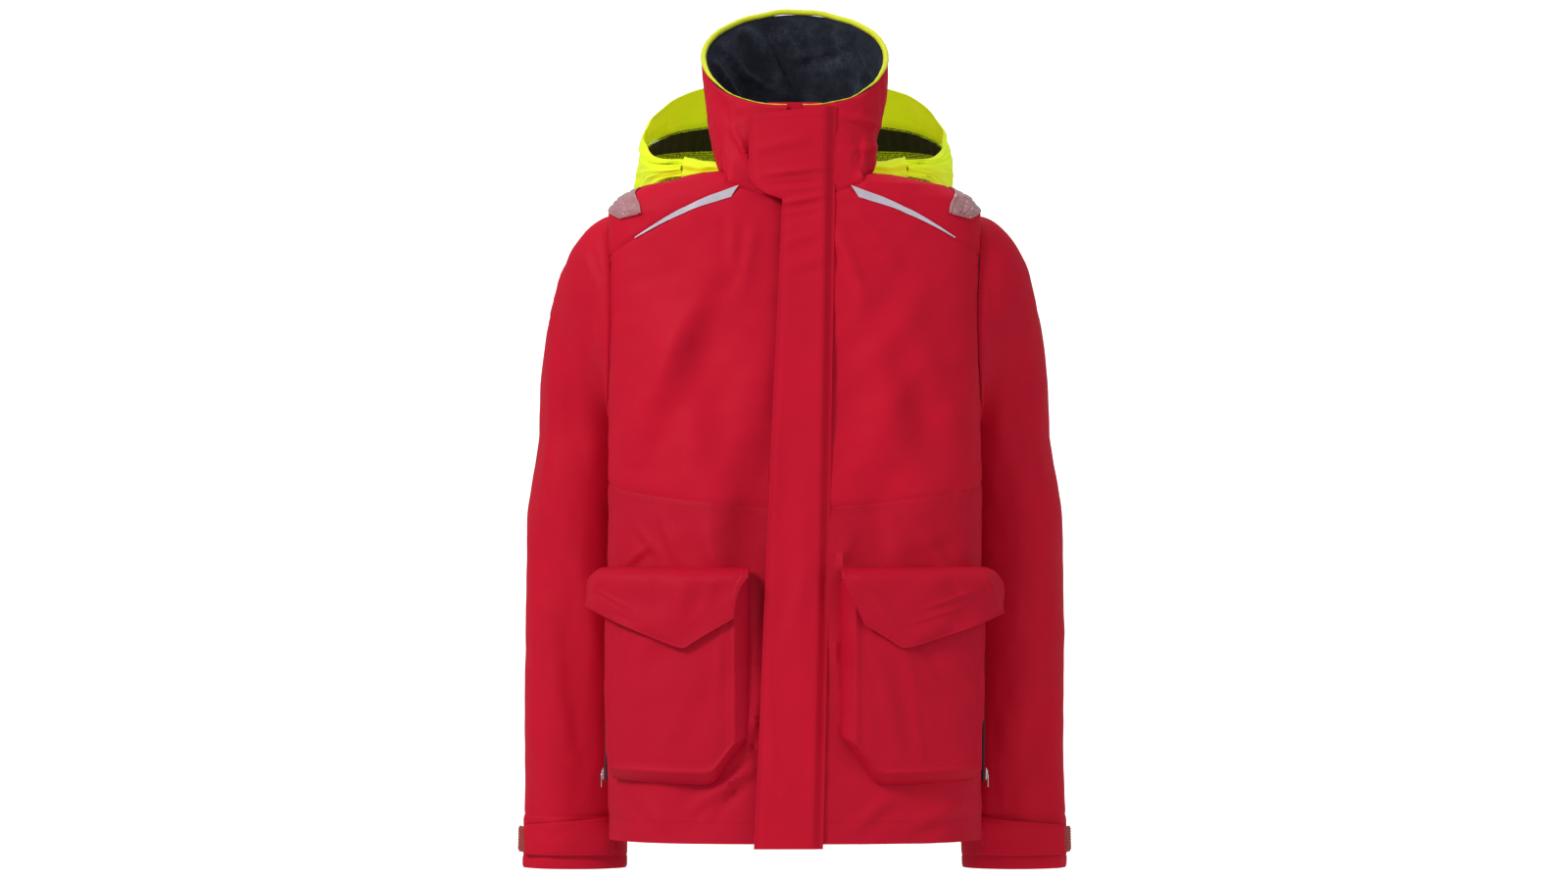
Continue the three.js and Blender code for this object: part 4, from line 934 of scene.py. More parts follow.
flap_free = through([(-751, -45), (-640, -40), (-480, -33.5), (-300, -26), (-160, -19.5),
                     (-46, -14.5), (-43, -14), (-33.5, -14), (-31.5, -20), (-28, -31),
                     (-21, -42), (-12, -49), (-4, -51), (60, -51), (72, -51)])
flap_seam = through([(-751, 31), (-400, 38.5), (70, 46)])
flap_rows = np.unique(np.concatenate([np.linspace(-751, -50, 150), np.linspace(-50, 0, 46),
                                      np.linspace(0, 70, 26)]))
u, v = np.meshgrid(np.linspace(0, 1, 30), flap_rows, indexing="ij")
free, seam = flap_free(v), flap_seam(v)
x = lerp(free, seam, u)
up = np.where(v > 40, v - (1 - u) * 10 * smooth((v - 40) / 30), v)
from_seam, from_free = seam - x, x - free
flap_out = lerp(1.8, 10.5, smooth((from_seam - 1) / 12))
flap_out -= 4.5 * np.clip(np.abs(x) / 51, 0, 1) ** 2 * smooth((v + 40) / 40)
flap_out += 0.9 * ripple(x, up, 90, 51, stretch=2.5) * smooth(from_seam / 10)
flap_out += sunk(from_seam - 5, 0.9, 2) + sunk(from_free - 4, 0.6, 2.5)
for start, end, width, height in [
    ((-40, -8), (40, 2), 4, 2.0), ((-34, -20), (34, -14), 3.5, -1.8), ((-20, -40), (36, -30), 4, 2.2),
    ((-16, -58), (30, -50), 4.5, -1.6), ((-14, -84), (34, -70), 5, 1.6), ((-8, -110), (36, -100), 6, 1.2),
    ((-46, 20), (20, 34), 6, 1.4), ((-20, -250), (-28, -420), 8, 1.6), ((10, -300), (4, -640), 12, 1.4),
    ((20, -420), (-20, -560), 10, 1.2), ((-36, -640), (10, -720), 8, 1.6), ((-34, -520), (-22, -700), 6, 1.2),
]:
    flap_out += crease(x, up, start, end, width, height) * smooth(from_seam / 8)
face = closure(x, flap_out, up)
lift = normals_of(face)
rise = np.linspace(0.004, 0.996, 420)
flap_threads = [row_of(face, lift, share, rise, pitch=3.4) for share in (0.93, 0.86)]
flap_threads.append(row_of(face, lift, 3 / 78, np.linspace(0.002, 0.60, 300), pitch=3.4))
flap_threads += [row_of(face, lift, 3.5 / 96, np.linspace(0.80, 0.985, 60)),
                 row_of(face, lift, np.linspace(0.04, 0.95, 60), 0.985)]
flap = cloth("storm_flap", face, 2.2, cloth_slots, flap_threads, lift=lift)
sewn(flap, ["storm_flap"], None, "shell_red", face)
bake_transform(flap)


# %% Straight strips along the zip
def strip(name, across, outs, along, slots, cells, body, slot_name, bend=0.0, rows=(), flat=True):
    u, v = grid_uv(cells)
    x = lerp(across[0], across[1], u)
    up = lerp(along[0], along[1], v)
    out = outs[1] + bend * ripple(x, up, 120, 61) + 0 * u
    face = closure(x, out, up)
    lift = normals_of(face)
    threads = [row_of(face, lift, a, np.linspace(0.005, 0.995, 300)) for a in rows]
    thing = cloth(name, face, outs[1] - outs[0], slots, threads, lift=lift)
    return sewn(thing, [name], body, slot_name, face if flat else None)


zip_top, zip_foot = RIM_FRONT - 10, HEM + 21
tape_slots = [tape, tape, tape]
strip("inner_flap", (-30, 30), (-8.4, -6.6), (HEM + 12, RIM_FRONT + 4), [shell, thread, shell],
      (16, 160), "shell", "shell_red", bend=0.25, rows=(0.06, 0.94))
strip("storm_flap_loops", (-22, -9), (1.5, 2.7), (-700, -255), [bristle] * 3, (14, 200), "shell",
      "hook_and_loop", flat=False)
strip("storm_flap_hooks", (-22, -9), (5.8, 7.0), (-700, -255), [bristle] * 3, (14, 200),
      "storm_flap", "hook_and_loop", flat=False)
for word, side in SIDES:
    spread = (3.9, 15.9) if side > 0 else (-15.9, -3.9)
    strip(f"zip_tape_{word}", spread, (-4.6, -3.4), (zip_foot + 12.3, zip_top), tape_slots,
          (8, 200), "shell", "black_tape", rows=(0.5,), flat=False)


# %% Chamfered solids for fittings
def solid(outline, outs, place=closure, bevel=0.5):
    """an outline thickened from outs[0] to outs[1] with softened edges"""
    outline = np.asarray(outline, float)
    centre = outline.mean(0)
    way = unit(outline - centre)
    rings = [(outs[0], bevel), (outs[0] + bevel, 0), (outs[1] - bevel, 0), (outs[1], bevel)]
    points = [place(*(outline - way * inset).T[:1], out, (outline - way * inset).T[1])
              for out, inset in rings]
    n = len(outline)
    faces = [(k * n + i, k * n + (i + 1) % n, (k + 1) * n + (i + 1) % n, (k + 1) * n + i)
             for k in range(3) for i in range(n)]
    faces += [tuple(range(n))[::-1], tuple(3 * n + i for i in range(n))]
    return np.concatenate(points), faces


def gather(name, parts, slots, sharp=30.0):
    points, faces, uses, count = [], [], [], 0
    for use, (corners, shape) in parts:
        points.append(corners)
        faces += [tuple(count + c for c in f) for f in shape]
        uses += [use] * len(shape)
        count += len(corners)
    return new_mesh(name, np.concatenate(points), faces, slots, uses, sharp=sharp)


def oval(centre, half, steps=20, power=1.0):
    turn = np.linspace(0, 2 * math.pi, steps, endpoint=False)
    c, s = np.cos(turn), np.sin(turn)
    return np.stack([centre[0] + half[0] * np.sign(c) * np.abs(c) ** power,
                     centre[1] + half[1] * np.sign(s) * np.abs(s) ** power], 1)


# %% Zip teeth, stop, slider and puller
for word, side in SIDES:
    parts = []
    for k, along in enumerate(np.arange(zip_foot + 14, zip_top - 1, 2.6)):
        shift = 0.65 if side > 0 else -0.65
        tooth = [(side * 0.3, along + shift - 0.5), (side * 1.2, along + shift - 0.95),
                 (side * 3.5, along + shift - 0.7), (side * 3.5, along + shift + 0.7),
                 (side * 1.2, along + shift + 0.95), (side * 0.3, along + shift + 0.5)]
        parts.append((0, solid(tooth[::side], (-5.0, -2.4), bevel=0.25)))
    thing = gather(f"zip_teeth_{word}", parts, [plastic])
    sewn(thing, [f"zip_teeth_{word}"], "shell", "zip_plastic")

stop = [(0, solid(oval((0, zip_foot + 6), (4.9, 5.9), 24, 0.5), (-5.2, -1.2))),
        (0, solid(oval((0, zip_foot + 6), (2.4, 3.6), 20), (-1.4, -0.8), bevel=0.3))]
sewn(gather("zip_stop", stop, [plastic]), ["zip_stop"], "shell", "zip_plastic")

rest = zip_top - 16
body = [(-4.2, rest - 7.5), (4.2, rest - 7.5), (5.2, rest - 3), (6.0, rest + 4.5), (4.6, rest + 7),
        (0, rest + 5.6), (-4.6, rest + 7), (-6.0, rest + 4.5), (-5.2, rest - 3)]
slider = [(0, solid(body, (-1.8, 0.8), bevel=0.6)),
          (0, solid(oval((0, rest + 1), (1.6, 5.5), 16, 0.6), (0.6, 4.0), bevel=0.7)),
          (0, solid(oval((0, rest + 5), (3.2, 1.8), 16), (0.6, 1.8), bevel=0.4))]
sewn(gather("zip_slider", slider, [metal]), ["zip_slider"], "zip_slider", "zip_metal")
grip = [(0, solid([(-2.6, rest), (-3.2, rest - 10), (-4.4, rest - 24), (-3.4, rest - 29),
                           (0, rest - 30), (3.4, rest - 29), (4.4, rest - 24), (3.2, rest - 10),
                           (2.6, rest)], (4.3, 6.0), bevel=0.5))]
grip += [(0, solid(oval((0, rest - 14 - 3 * k), (2.8, 0.55), 12), (5.9, 6.3), bevel=0.15))
         for k in range(5)]
sewn(gather("zip_puller", grip, [plastic]), ["zip_puller"], "zip_slider", "zip_plastic")

# %% [markdown]
# ## Cargo pockets
# A pouch is a flat front with side walls folded in, sewn to the panel along a narrow border. The
# flap above it starts at the body, rolls over the open top and falls across the front.

# %% Pouches
POCKET_TOP = -455.0
POUCH_FOOT = -680.0
POUCH_DEEP = 23.0


def on_body(angle, height, out):
    return push_out(body_point, angle, height, out)


def pouch_angle(u, height):
    return lerp(front_angle(50, height), math.radians(68), u)


def eased(count, edge, share):
    """positions from 0 to 1 with more of them near both ends"""
    ends = np.linspace(0, edge, share)
    return np.unique(np.concatenate([ends, np.linspace(edge, 1 - edge, count), 1 - ends]))


pouch_creases = {
    "left": [((0.05, 1.0), (0.55, 0.25), 0.05, 2.2), ((0.25, 0.9), (0.62, 0.45), 0.035, -1.8),
             ((0.15, 0.75), (0.30, 0.10), 0.04, 1.8), ((0.32, 0.75), (0.44, 0.08), 0.035, 1.6),
             ((0.60, 0.60), (0.90, 0.40), 0.03, 1.4), ((0.88, 0.35), (0.97, 0.28), 0.02, 1.2)],
    "right": [((0.30, 0.95), (0.70, 0.55), 0.06, 1.6), ((0.20, 0.60), (0.50, 0.10), 0.06, 1.2),
              ((0.70, 0.90), (0.90, 0.60), 0.04, -1.4), ((0.10, 0.90), (0.16, 0.30), 0.03, 1.2)],
}
for word, side in SIDES:
    u, v = np.meshgrid(eased(52, 0.075, 13), eased(64, 0.075, 13), indexing="ij")
    foot = np.interp(u, [0, 0.17, 0.22, 1], [POUCH_FOOT + 54, POUCH_FOOT + 3, POUCH_FOOT, POUCH_FOOT + 4])
    height = lerp(foot, POCKET_TOP, v)
    corner = np.minimum.reduce([u / 0.06, (1 - u) / 0.07, v / 0.055])
    rise = np.clip(corner, 0, 1) ** 0.6
    slump = 1 - 0.28 * smooth(1 - v * 1.4)
    out = 1.6 + POUCH_DEEP * rise * slump
    out += 0.9 * ripple(u * 170, v * 225, 95, 71 + side) * rise
    for start, end, width, high in pouch_creases[word]:
        out += rise * crease(u, v, start, end, width, high)
    out += (rise * np.exp(-((corner - 1.12) / 0.16) ** 2)
            - rise * 0.8 * np.exp(-((corner - 1.75) / 0.2) ** 2))
    face = on_body(pouch_angle(u, height), height, out)
    lift = normals_of(face)
    run = np.linspace(0.004, 0.996, 260)
    inset = 0.088
    rows = [(1 - inset, run), (inset, np.linspace(0.08, 0.996, 240)), (np.linspace(0.2, 0.95, 200), 0.085),
            (np.linspace(inset, 0.2, 60), np.linspace(0.10, 0.085, 60)), (run, 0.965)]
    columns, levels = eased(52, 0.075, 13), eased(64, 0.075, 13)
    share = lambda values, at: np.interp(at, values, np.linspace(0, 1, len(values)))
    rows = [(share(columns, np.asarray(a)), share(levels, np.asarray(b))) for a, b in rows]
    if side < 0:
        face, lift = mirror(face)[::-1], mirror(lift)[::-1]
        rows = [(1 - a, b) for a, b in rows]
    threads = [row_of(face, lift, a, b, pitch=3.2, length=2.2) for a, b in rows]
    thing = cloth(f"pocket_pouch_{word}", face, 1.8, lower_slots, threads, lift=lift)
    sewn(thing, [f"pocket_pouch_{word}"], "shell", "lower_red", face)

# %% Flaps over the pockets
flap_feet = {"left": through([(0, 10), (0.10, 62), (0.29, 88), (0.35, 86.5), (1, 50)], 0.006),
             "right": through([(0, 8), (0.045, 24), (0.06, 55), (0.31, 88), (0.36, 86.5), (1, 42)], 0.006)}
flap_creases = {
    "left": [((0.05, 0.9), (0.25, 0.2), 0.03, 1.8), ((0.40, 0.45), (0.80, 0.62), 0.035, 1.6),
             ((0.30, 0.30), (0.70, 0.38), 0.03, 1.0), ((0.82, 0.95), (0.90, 0.45), 0.03, 1.8),
             ((0.62, 0.9), (0.72, 0.4), 0.03, 1.2)],
    "right": [((0.30, 0.95), (0.34, 0.30), 0.05, 2.4), ((0.15, 0.85), (0.20, 0.30), 0.03, 1.0),
              ((0.55, 0.95), (0.50, 0.45), 0.04, 1.4), ((0.84, 0.95), (0.94, 0.35), 0.04, 1.6),
              ((0.62, 0.30), (0.95, 0.55), 0.03, 1.0)],
}
FLAP_TOP = POCKET_TOP + 13
for word, side in SIDES:
    fall = np.concatenate([np.linspace(0, 0.16, 22) ** 1.0, np.linspace(0.16, 1, 44)[1:]])[::-1]
    u, d = np.meshgrid(np.linspace(0, 1, 64), fall, indexing="ij")
    drop = flap_feet[word](u) * d
    roll = 1 - np.exp(-drop / 3.2)
    height = FLAP_TOP - drop + 2.5 * np.exp(-((drop - 2) / 3) ** 2)
    reach = math.radians(70) + 0.055 * smooth((u - 0.6) / 0.4) * smooth(drop / 20)
    angle = lerp(front_angle(50, height), reach, u)
    v = 1 - d
    out = 1.2 + 32.5 * roll + 1.0 * ripple(u * 180, v * 80, 60, 81 + side) * smooth(drop / 14)
    out += 1.6 * smooth((d - 0.85) / 0.15) * ripple(u * 180, 0 * v, 70, 88) - 0.02 * drop
    for start, end, width, high in flap_creases[word]:
        out += crease(u, v, start, end, width, high) * smooth(drop / 10)
    face = on_body(angle, height, out)
    lift = normals_of(face)
    run = np.linspace(0.03, 0.97, 220)
    if side < 0:
        face, lift = mirror(face)[::-1], mirror(lift)[::-1]
    threads = [row_of(face, lift, run, 3.2 / 80, pitch=3.2, length=2.2),
               row_of(face, lift, 0.982 if side > 0 else 0.018, np.linspace(0.05, 0.72, 60)),
               row_of(face, lift, 0.02 if side > 0 else 0.98, np.linspace(0.05, 0.72, 40))]
    thing = cloth(f"pocket_flap_{word}", face, 2.0, lower_slots, threads, lift=lift)
    sewn(thing, [f"pocket_flap_{word}"], None, "lower_red", face)
    root = on_body(front_angle(142, FLAP_TOP), FLAP_TOP, 2.0) * [side, 1, 1]
    tip = on_body(front_angle(142, FLAP_TOP), FLAP_TOP, 24.0) * [side, 1, 1]
    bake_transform(thing)

    for name, out_at, body in (("pocket_loops", 27.2, "shell"),
                               ("pocket_hooks", 28.6, f"pocket_flap_{word}")):
        u, v = grid_uv((110, 20))
        height = lerp(POCKET_TOP - 34, POCKET_TOP - 12, v)
        angle = pouch_angle(lerp(0.2, 0.75, u), height)
        face = on_body(angle, height, out_at + 0.3 * np.sin(u * 377) * np.sin(v * 91))
        face = mirror(face)[::-1] if side < 0 else face
        thing = cloth(f"{name}_{word}", face, 1.0, [bristle] * 3)
        sewn(thing, [f"{name}_{word}"], body, "hook_and_loop")

# %% [markdown]
# ## Trim on the shoulders
# A band of glass-bead film lies in the yoke seam. A clear moulded patch on each shoulder takes
# the rub of a harness: a raised rim, ribs that fan out, and rows of small raised bars.

# %% Film bands and shoulder patches
def strip_edge(way):
    def edge(t):
        angle, height = yoke_seam(lerp(0.03, 0.8, t))
        return angle, height + way * lerp(13, 1.2, t) / 2
    return edge


patch_outer = joined(line((math.radians(66), -54), (math.radians(97), -38)),
                     line((math.radians(97), -38), (math.radians(128), -54)), 0.5)


def patch_inner(t):
    """up the front to the ridge of the shoulder, then the same way down the back"""
    t = np.asarray(t, float)
    near = 1 - np.abs(2 * t - 1)
    height = lerp(-49.0, -17.0, near)
    ridge = math.radians(95)
    angle = np.minimum(front_angle(lerp(171.0, half_width(height), near ** 3), height), ridge)
    return np.where(t < 0.5, angle, 2 * ridge - angle), height


for word, side in SIDES:
    band = {"low": strip_edge(-1), "high": strip_edge(1)}
    band["start"] = line(here(band["low"], 0), here(band["high"], 0))
    band["end"] = line(here(band["low"], 1), here(band["high"], 1))
    face = lay(band, (90, 8), side, rise=0.9, sink=())
    sewn(cloth(f"reflective_strip_{word}", face, 0.7, [film, film, film]),
         [f"reflective_strip_{word}"], "shell", "reflective")

    pad = {"low": patch_outer, "high": patch_inner}
    pad["start"] = line(here(patch_outer, 0), here(patch_inner, 0))
    pad["end"] = line(here(patch_outer, 1), here(patch_inner, 1))
    u, v = grid_uv((150, 44))
    half = np.abs(2 * u - 1)
    rim = np.minimum(np.minimum(u, 1 - u) * 150, np.minimum(v, 1 - v) * 36)
    relief = 1.1 * np.exp(-((rim - 1.6) / 1.3) ** 2)
    spread = 0.06 + 0.12 * (1 - half)
    for way in (-1, 1):
        relief -= 1.0 * np.exp(-((v - 0.52 - way * spread) / 0.028) ** 2) * (rim > 4)
    cells = (np.abs(np.sin(v * 36 * math.pi / 2.4)) > 0.35)
    for level in np.arange(0.10, 0.92, 0.088):
        relief += 0.7 * cells * np.exp(-((u - level) / 0.0085) ** 2) * (rim > 3.5)
    angle, height = patch(pad, u, v)
    height = height + 1.5 * (half > 0.97)
    form = on_body(angle, height, np.zeros_like(u))
    lift = on_body(angle, height, np.ones_like(u)) - form
    out = body_folds(form * [side, 1, 1]) + 1.6 + relief
    face = form + lift * out[..., None]
    face = mirror(face)[::-1] if side < 0 else face
    sewn(cloth(f"shoulder_patch_{word}", face, 1.4, [clear_rubber, clear_edge, clear_edge]),
         [f"shoulder_patch_{word}"], "shell", "clear_patch")

# %% [markdown]
# ## Collar
# The collar stands tall behind and dips in front. Outside it is shell cloth with diagonal creases
# where it joins the neck. Inside it is fleece that buckles into long soft rolls, and a fat piping
# finishes the rim.

# %% Collar form
RIM_BACK = 185.0
RIM_MID_Y = (front_y(RIM_FRONT) + 72) / 2
RIM_DEEP = (72 - front_y(RIM_FRONT)) / 2


def collar_point(angle, rise, inset):
    angle, rise = np.broadcast_arrays(np.asarray(angle, float), np.asarray(rise, float))
    foot = body_point(angle, neck_height(angle))
    sideways, ahead = np.sin(angle), np.cos(angle)
    power = np.where(ahead > 0, 0.8, 1.0)
    rim = np.stack([105 * np.sign(sideways) * np.abs(sideways) ** power,
                    RIM_MID_Y - RIM_DEEP * np.sign(ahead) * np.abs(ahead) ** power,
                    lerp(RIM_FRONT, RIM_BACK, (1 - ahead) / 2)], -1)
    point = lerp(foot, rim, rise[..., None])
    point[..., 0] = lerp(foot[..., 0], rim[..., 0], np.sin(rise * math.pi / 2))
    point[..., 2] += 0.9 * (1 - rise)
    point[..., 0] -= inset * sideways
    point[..., 1] += inset * ahead
    return point


def collar_front(rise, clear):
    foot = front_angle(clear, -32.0)
    rim = math.asin((clear / 105) ** 1.25)
    return lerp(foot, rim, np.sin(rise * math.pi / 2))


u, v = grid_uv((190, 44))
front = collar_front(v, 9)
angle = lerp(front, 2 * math.pi - front, u)
form = collar_point(angle, lerp(-0.022, 1.0, v), 0 * u)
lift = normals_of(form)
girth = angle * 95
height = v * lerp(103, 173, (1 - np.cos(angle)) / 2)
out = 1.1 * ripple(girth, height, 80, 91) + 0.4 * ripple(girth, height, 26, 92)
x, z = form[..., 0], form[..., 2]
ahead = smooth((10 - form[..., 1]) / 30)
for start, end, width, high in [
    ((-72, 52), (-44, -8), 4.5, 2.6), ((-60, 30), (-40, -14), 4, 1.8), ((-96, 110), (-60, 60), 8, 2.0),
    ((90, 34), (84, -10), 3.5, 2.6), ((80, 40), (74, -12), 4, 2.0), ((100, 44), (92, 8), 3.5, 1.8),
    ((50, 60), (102, 48), 5, 2.0), ((56, 96), (98, 118), 8, 2.0), ((60, 20), (96, 28), 5, 1.6),
]:
    out += 1.7 * ahead * crease(x, z, start, end, width, high)
out = np.maximum(out, -1.0)
from_foot, from_rim = v * 120, (1 - v) * 120
out += sunk(from_foot, 1.2, 3) - 1.2 * np.exp(-(from_rim / 2.5) ** 2)
out += 0.9 * np.exp(-(from_foot / 12) ** 2) * np.sin(girth / 3.1 + np.sin(girth / 17) * 2)
face = form + lift * out[..., None]
rows = [row_of(face, lift, np.linspace(0.005, 0.995, 400), share) for share in (0.035, 0.955)]
rows += [row_of(face, lift, share, np.linspace(0.03, 0.95, 60)) for share in (0.008, 0.992)]
sewn(cloth("collar_shell", face, 2.4, [shell, thread, fleece], rows, lift=lift), ["collar_shell"], "shell",
     "shell_red", face)

# %% Fleece inside the collar
u, v = grid_uv((230, 64))
rise = lerp(0.02, 1.0, v)
front = collar_front(rise, 35)
angle = lerp(2 * math.pi - front, front, u)
form = collar_point(angle, rise, 0 * u + 5.5)
lift = normals_of(form)
girth = angle * 90
height = rise * lerp(103, 173, (1 - np.cos(angle)) / 2)
x, z = form[..., 0], form[..., 2]
behind = smooth((form[..., 1] + 30) / 40)
bulge = 1.0 * ripple(girth, height, 60, 95) + 0.35 * ripple(girth, height, 15, 96)
for start, end, width, high in [
    ((-58, 178), (-8, 96), 7, 5.5), ((-36, 170), (16, 70), 5, -4.5), ((-84, 150), (-40, 92), 6, 4.5),
    ((-94, 132), (-62, 84), 5, 4.0), ((-20, 182), (30, 100), 6, 4.0), ((10, 176), (60, 96), 7, 4.5),
    ((40, 170), (84, 104), 6, 4.5), ((70, 156), (98, 100), 5, 3.5), ((-70, 120), (10, 84), 6, 3.6),
    ((-30, 60), (70, 84), 7, 4.0), ((-10, 130), (64, 150), 6, 2.6), ((84, 130), (60, 60), 5, 3.0),
]:
    bulge += 1.5 * behind * crease(x, z, start, end, width, high, hollow=0.7)
bulge *= smooth((1 - v) * 9) * smooth(v * 8)
face = form + lift * (np.clip(bulge, -1.2, 8.0) - 1.8 * np.exp(-((1 - v) * 120 / 3) ** 2))[..., None]
back = collar_point(angle, rise, 0 * u + 3.2)
thing = cloth("collar_lining", face, 1.6, [fleece, fleece, fleece], lift=lift, back=back)
sewn(thing, ["collar_lining"], "shell", "fleece", face)


# %% Tubes for piping and cords
def tube(path, radius, sides=12, squash=1.0):
    path = np.asarray(path, float)
    radius = np.broadcast_to(np.asarray(radius, float), (len(path),))
    way = unit(np.gradient(path, axis=0))
    side = unit(np.cross(way, [0.13, 0.21, 0.97]))
    up = np.cross(side, way)
    turn = np.linspace(0, 2 * math.pi, sides, endpoint=False)
    ring = (np.cos(turn)[None, :, None] * side[:, None] + squash * np.sin(turn)[None, :, None] * up[:, None])
    points = path[:, None] + ring * radius[:, None, None]
    n = len(path)
    faces = [(i * sides + k, i * sides + (k + 1) % sides, (i + 1) * sides + (k + 1) % sides,
              (i + 1) * sides + k) for i in range(n - 1) for k in range(sides)]
    faces += [tuple(range(sides))[::-1], tuple((n - 1) * sides + k for k in range(sides))]
    return points.reshape(-1, 3), faces


def tube_mesh(name, path, radius, material, sides=12, squash=1.0, extras=()):
    points, faces = tube(path, radius, sides, squash)
    parts = [(0, (points, faces))] + list(extras)
    thing = gather(name, parts, [material, thread])
    walked = np.r_[0, np.cumsum(np.linalg.norm(np.diff(path, axis=0), axis=1))]
    uv = thing.data.uv_layers.new(name="cloth")
    n = len(path) * sides
    for loop in thing.data.loops:
        k = loop.vertex_index
        spot = (walked[k // sides], (k % sides) * 2.5) if k < n else (0.0, 0.0)
        uv.data[loop.index].uv = (spot[0] / 1000, spot[1] / 1000)
    return thing


front = float(collar_front(1.0, 9))
angle = np.linspace(front, 2 * math.pi - front, 260)
path = collar_point(angle, np.ones_like(angle), 2.4 + 0 * angle)
path[:, 2] += 3.2 + 0.5 * ripple(angle * 95, 0 * angle, 60, 97)
behind = (1 - np.cos(angle)) / 2
path[:, 2] -= 2.6 * (1 - smooth(behind * 3.2))
thick = 0.5 + 2.7 * smooth((behind - 0.06) * 2.4) + 0.10 * np.sin(angle * 95 / 2.2)
sewn(tube_mesh("collar_piping", path, thick, piping_cloth, 14), ["collar_piping"], "shell",
     "fluoro_yellow")

# hanger loop: a flat woven cord with both ends tucked into the neck seam
t = np.linspace(-1, 1, 60)
path = np.stack([26 * np.sign(t) * np.abs(t) ** 0.8, 51 + 0 * t, 30 - 18 * np.abs(t) ** 2.2], 1)
tacks = [(1, stitches(path[k:k + 4] + [0, 0, 1.2], np.tile([0, 0, 1.0], (4, 1)))) for k in (1, 54)]
sewn(tube_mesh("hanger_loop", path, 2.0 + 0.15 * np.sin(t * 60), tape, 12, extras=tacks),
     ["hanger_loop"], "shell", "black_tape")

# %% [markdown]
# ## Hood
# The stowed hood hangs open behind the collar like a bowl. A doubled face band wrinkles along
# its rim, black tape covers the seam under it, and mesh lines the yellow crown.

# %% Hood form
def looped(half, back):
    half = np.array(half, float)
    return np.concatenate([half, [back], (half * [-1, 1, 1])[::-1]])


def along_curve(points, t):
    t = np.clip(np.asarray(t, float), 0, 1) * (len(points) - 1)
    i = np.minimum(t.astype(int), len(points) - 2)
    s = (t - i)[..., None]
    ends = np.concatenate([[2 * points[0] - points[1]], points, [2 * points[-1] - points[-2]]])
    a, b, c, d = (ends[i + k] for k in range(4))
    return 0.5 * (2 * b + (c - a) * s + (2 * a - 5 * b + 4 * c - d) * s ** 2
                  + (3 * b - a - 3 * c + d) * s ** 3)


rim_curve = looped([(120, -20, 15), (160, 15, 21), (171, 60, 51), (140, 112, 87), (93, 150, 106),
                    (45, 176, 114)], (0, 185, 116))
fold_curve = looped([(124, -18, -2), (158, 22, -12), (168, 85, -50), (150, 150, -105),
                     (105, 190, -135), (50, 208, -144)], (0, 212, -145))


def hood_point(along, down):
    along, down = np.broadcast_arrays(np.asarray(along, float), np.asarray(down, float))
    along = np.clip(along, 0, 1)
    rim, fold = along_curve(rim_curve, along), along_curve(fold_curve, along)
    middle = np.sin(math.pi * along) ** 0.5
    away = unit(rim * [1, 0.8, 0])
    return lerp(rim, fold, down[..., None]) + away * (14 * middle * np.sin(math.pi * down))[..., None]


def hood_grid(alongs, downs, cells, out_of):
    u, v = grid_uv(cells)
    a, d = lerp(alongs[0], alongs[1], u), lerp(downs[0], downs[1], v)
    form = hood_point(a, d)
    lift = unit(np.cross(hood_point(a + 0.006, d) - hood_point(a - 0.006, d),
                         hood_point(a, d - 0.01) - hood_point(a, d + 0.01)))
    return form + lift * out_of(a, d, v)[..., None], lift


def hood_folds(a, d):
    out = 1.6 * ripple(a * 700, d * 200, 90, 101) + 0.7 * ripple(a * 700, d * 200, 30, 102)
    for start, end, width, high in [
        ((0.10, 0.25), (0.20, 0.95), 0.014, 4.0), ((0.30, 0.2), (0.26, 0.9), 0.016, 3.6),
        ((0.44, 0.2), (0.38, 0.95), 0.02, 4.2), ((0.55, 0.25), (0.60, 0.95), 0.02, 4.0),
        ((0.70, 0.2), (0.74, 0.9), 0.016, 3.6), ((0.88, 0.3), (0.80, 0.95), 0.014, 4.0),
    ]:
        out = out + crease(a, d, start, end, width, high)
    return out


BAND = 0.20
hood_threads = [nylon, yellow_thread, nylon]
face, lift = hood_grid((0.008, 0.992), (1.0, BAND), (200, 60), lambda a, d, v: hood_folds(a, d) * 0.8
                       + sunk((1 - v) * 150, 1.5, 4) + sunk(v * 150, 1.5, 4))
rows = [row_of(face, lift, np.linspace(0.01, 0.99, 300), share) for share in (0.97, 0.03)]
thing = cloth("hood_crown", face, 1.6, hood_threads, rows, lift=lift)
sewn(thing, ["hood_crown"], "hood", "fluoro_yellow", face)


def band_out(a, d, v):
    gather_lines = np.sin(a * 700 / 5.5 + 3 * np.sin(a * 31)) * (0.8 + 0.5 * np.sin(a * 53))
    hollow = 1.1 * ripple(a * 700, d * 160, 34, 111) + gather_lines * 0.9 * smooth((1 - v) * 3)
    return hollow + 1.2 * np.sin(math.pi * v) - 0.9 * np.exp(-((v - 0.30) / 0.04) ** 2)


face, lift = hood_grid((0.004, 0.996), (BAND + 0.005, -0.02), (300, 26), band_out)


def inner_out(a, d, v):
    return band_out(a + 0.013, d, v) * 1.3 - 4.2 * np.sin(math.pi * np.clip(v, 0.06, 0.94))


inner, _ = hood_grid((0.004, 0.996), (BAND + 0.005, -0.02), (300, 26), inner_out)
rows = [row_of(face, lift, np.linspace(0.01, 0.99, 360), share) for share in (0.05, 0.30)]
inner_rows = [row_of(inner, -lift, np.linspace(0.01, 0.99, 360), share) for share in (0.08, 0.42)]
thing = cloth("hood_face_band", face, 2.0, [nylon, yellow_thread, nylon], rows + inner_rows, lift=lift,
              back=inner)
sewn(thing, ["hood_face_band"], "hood", "fluoro_yellow", face)

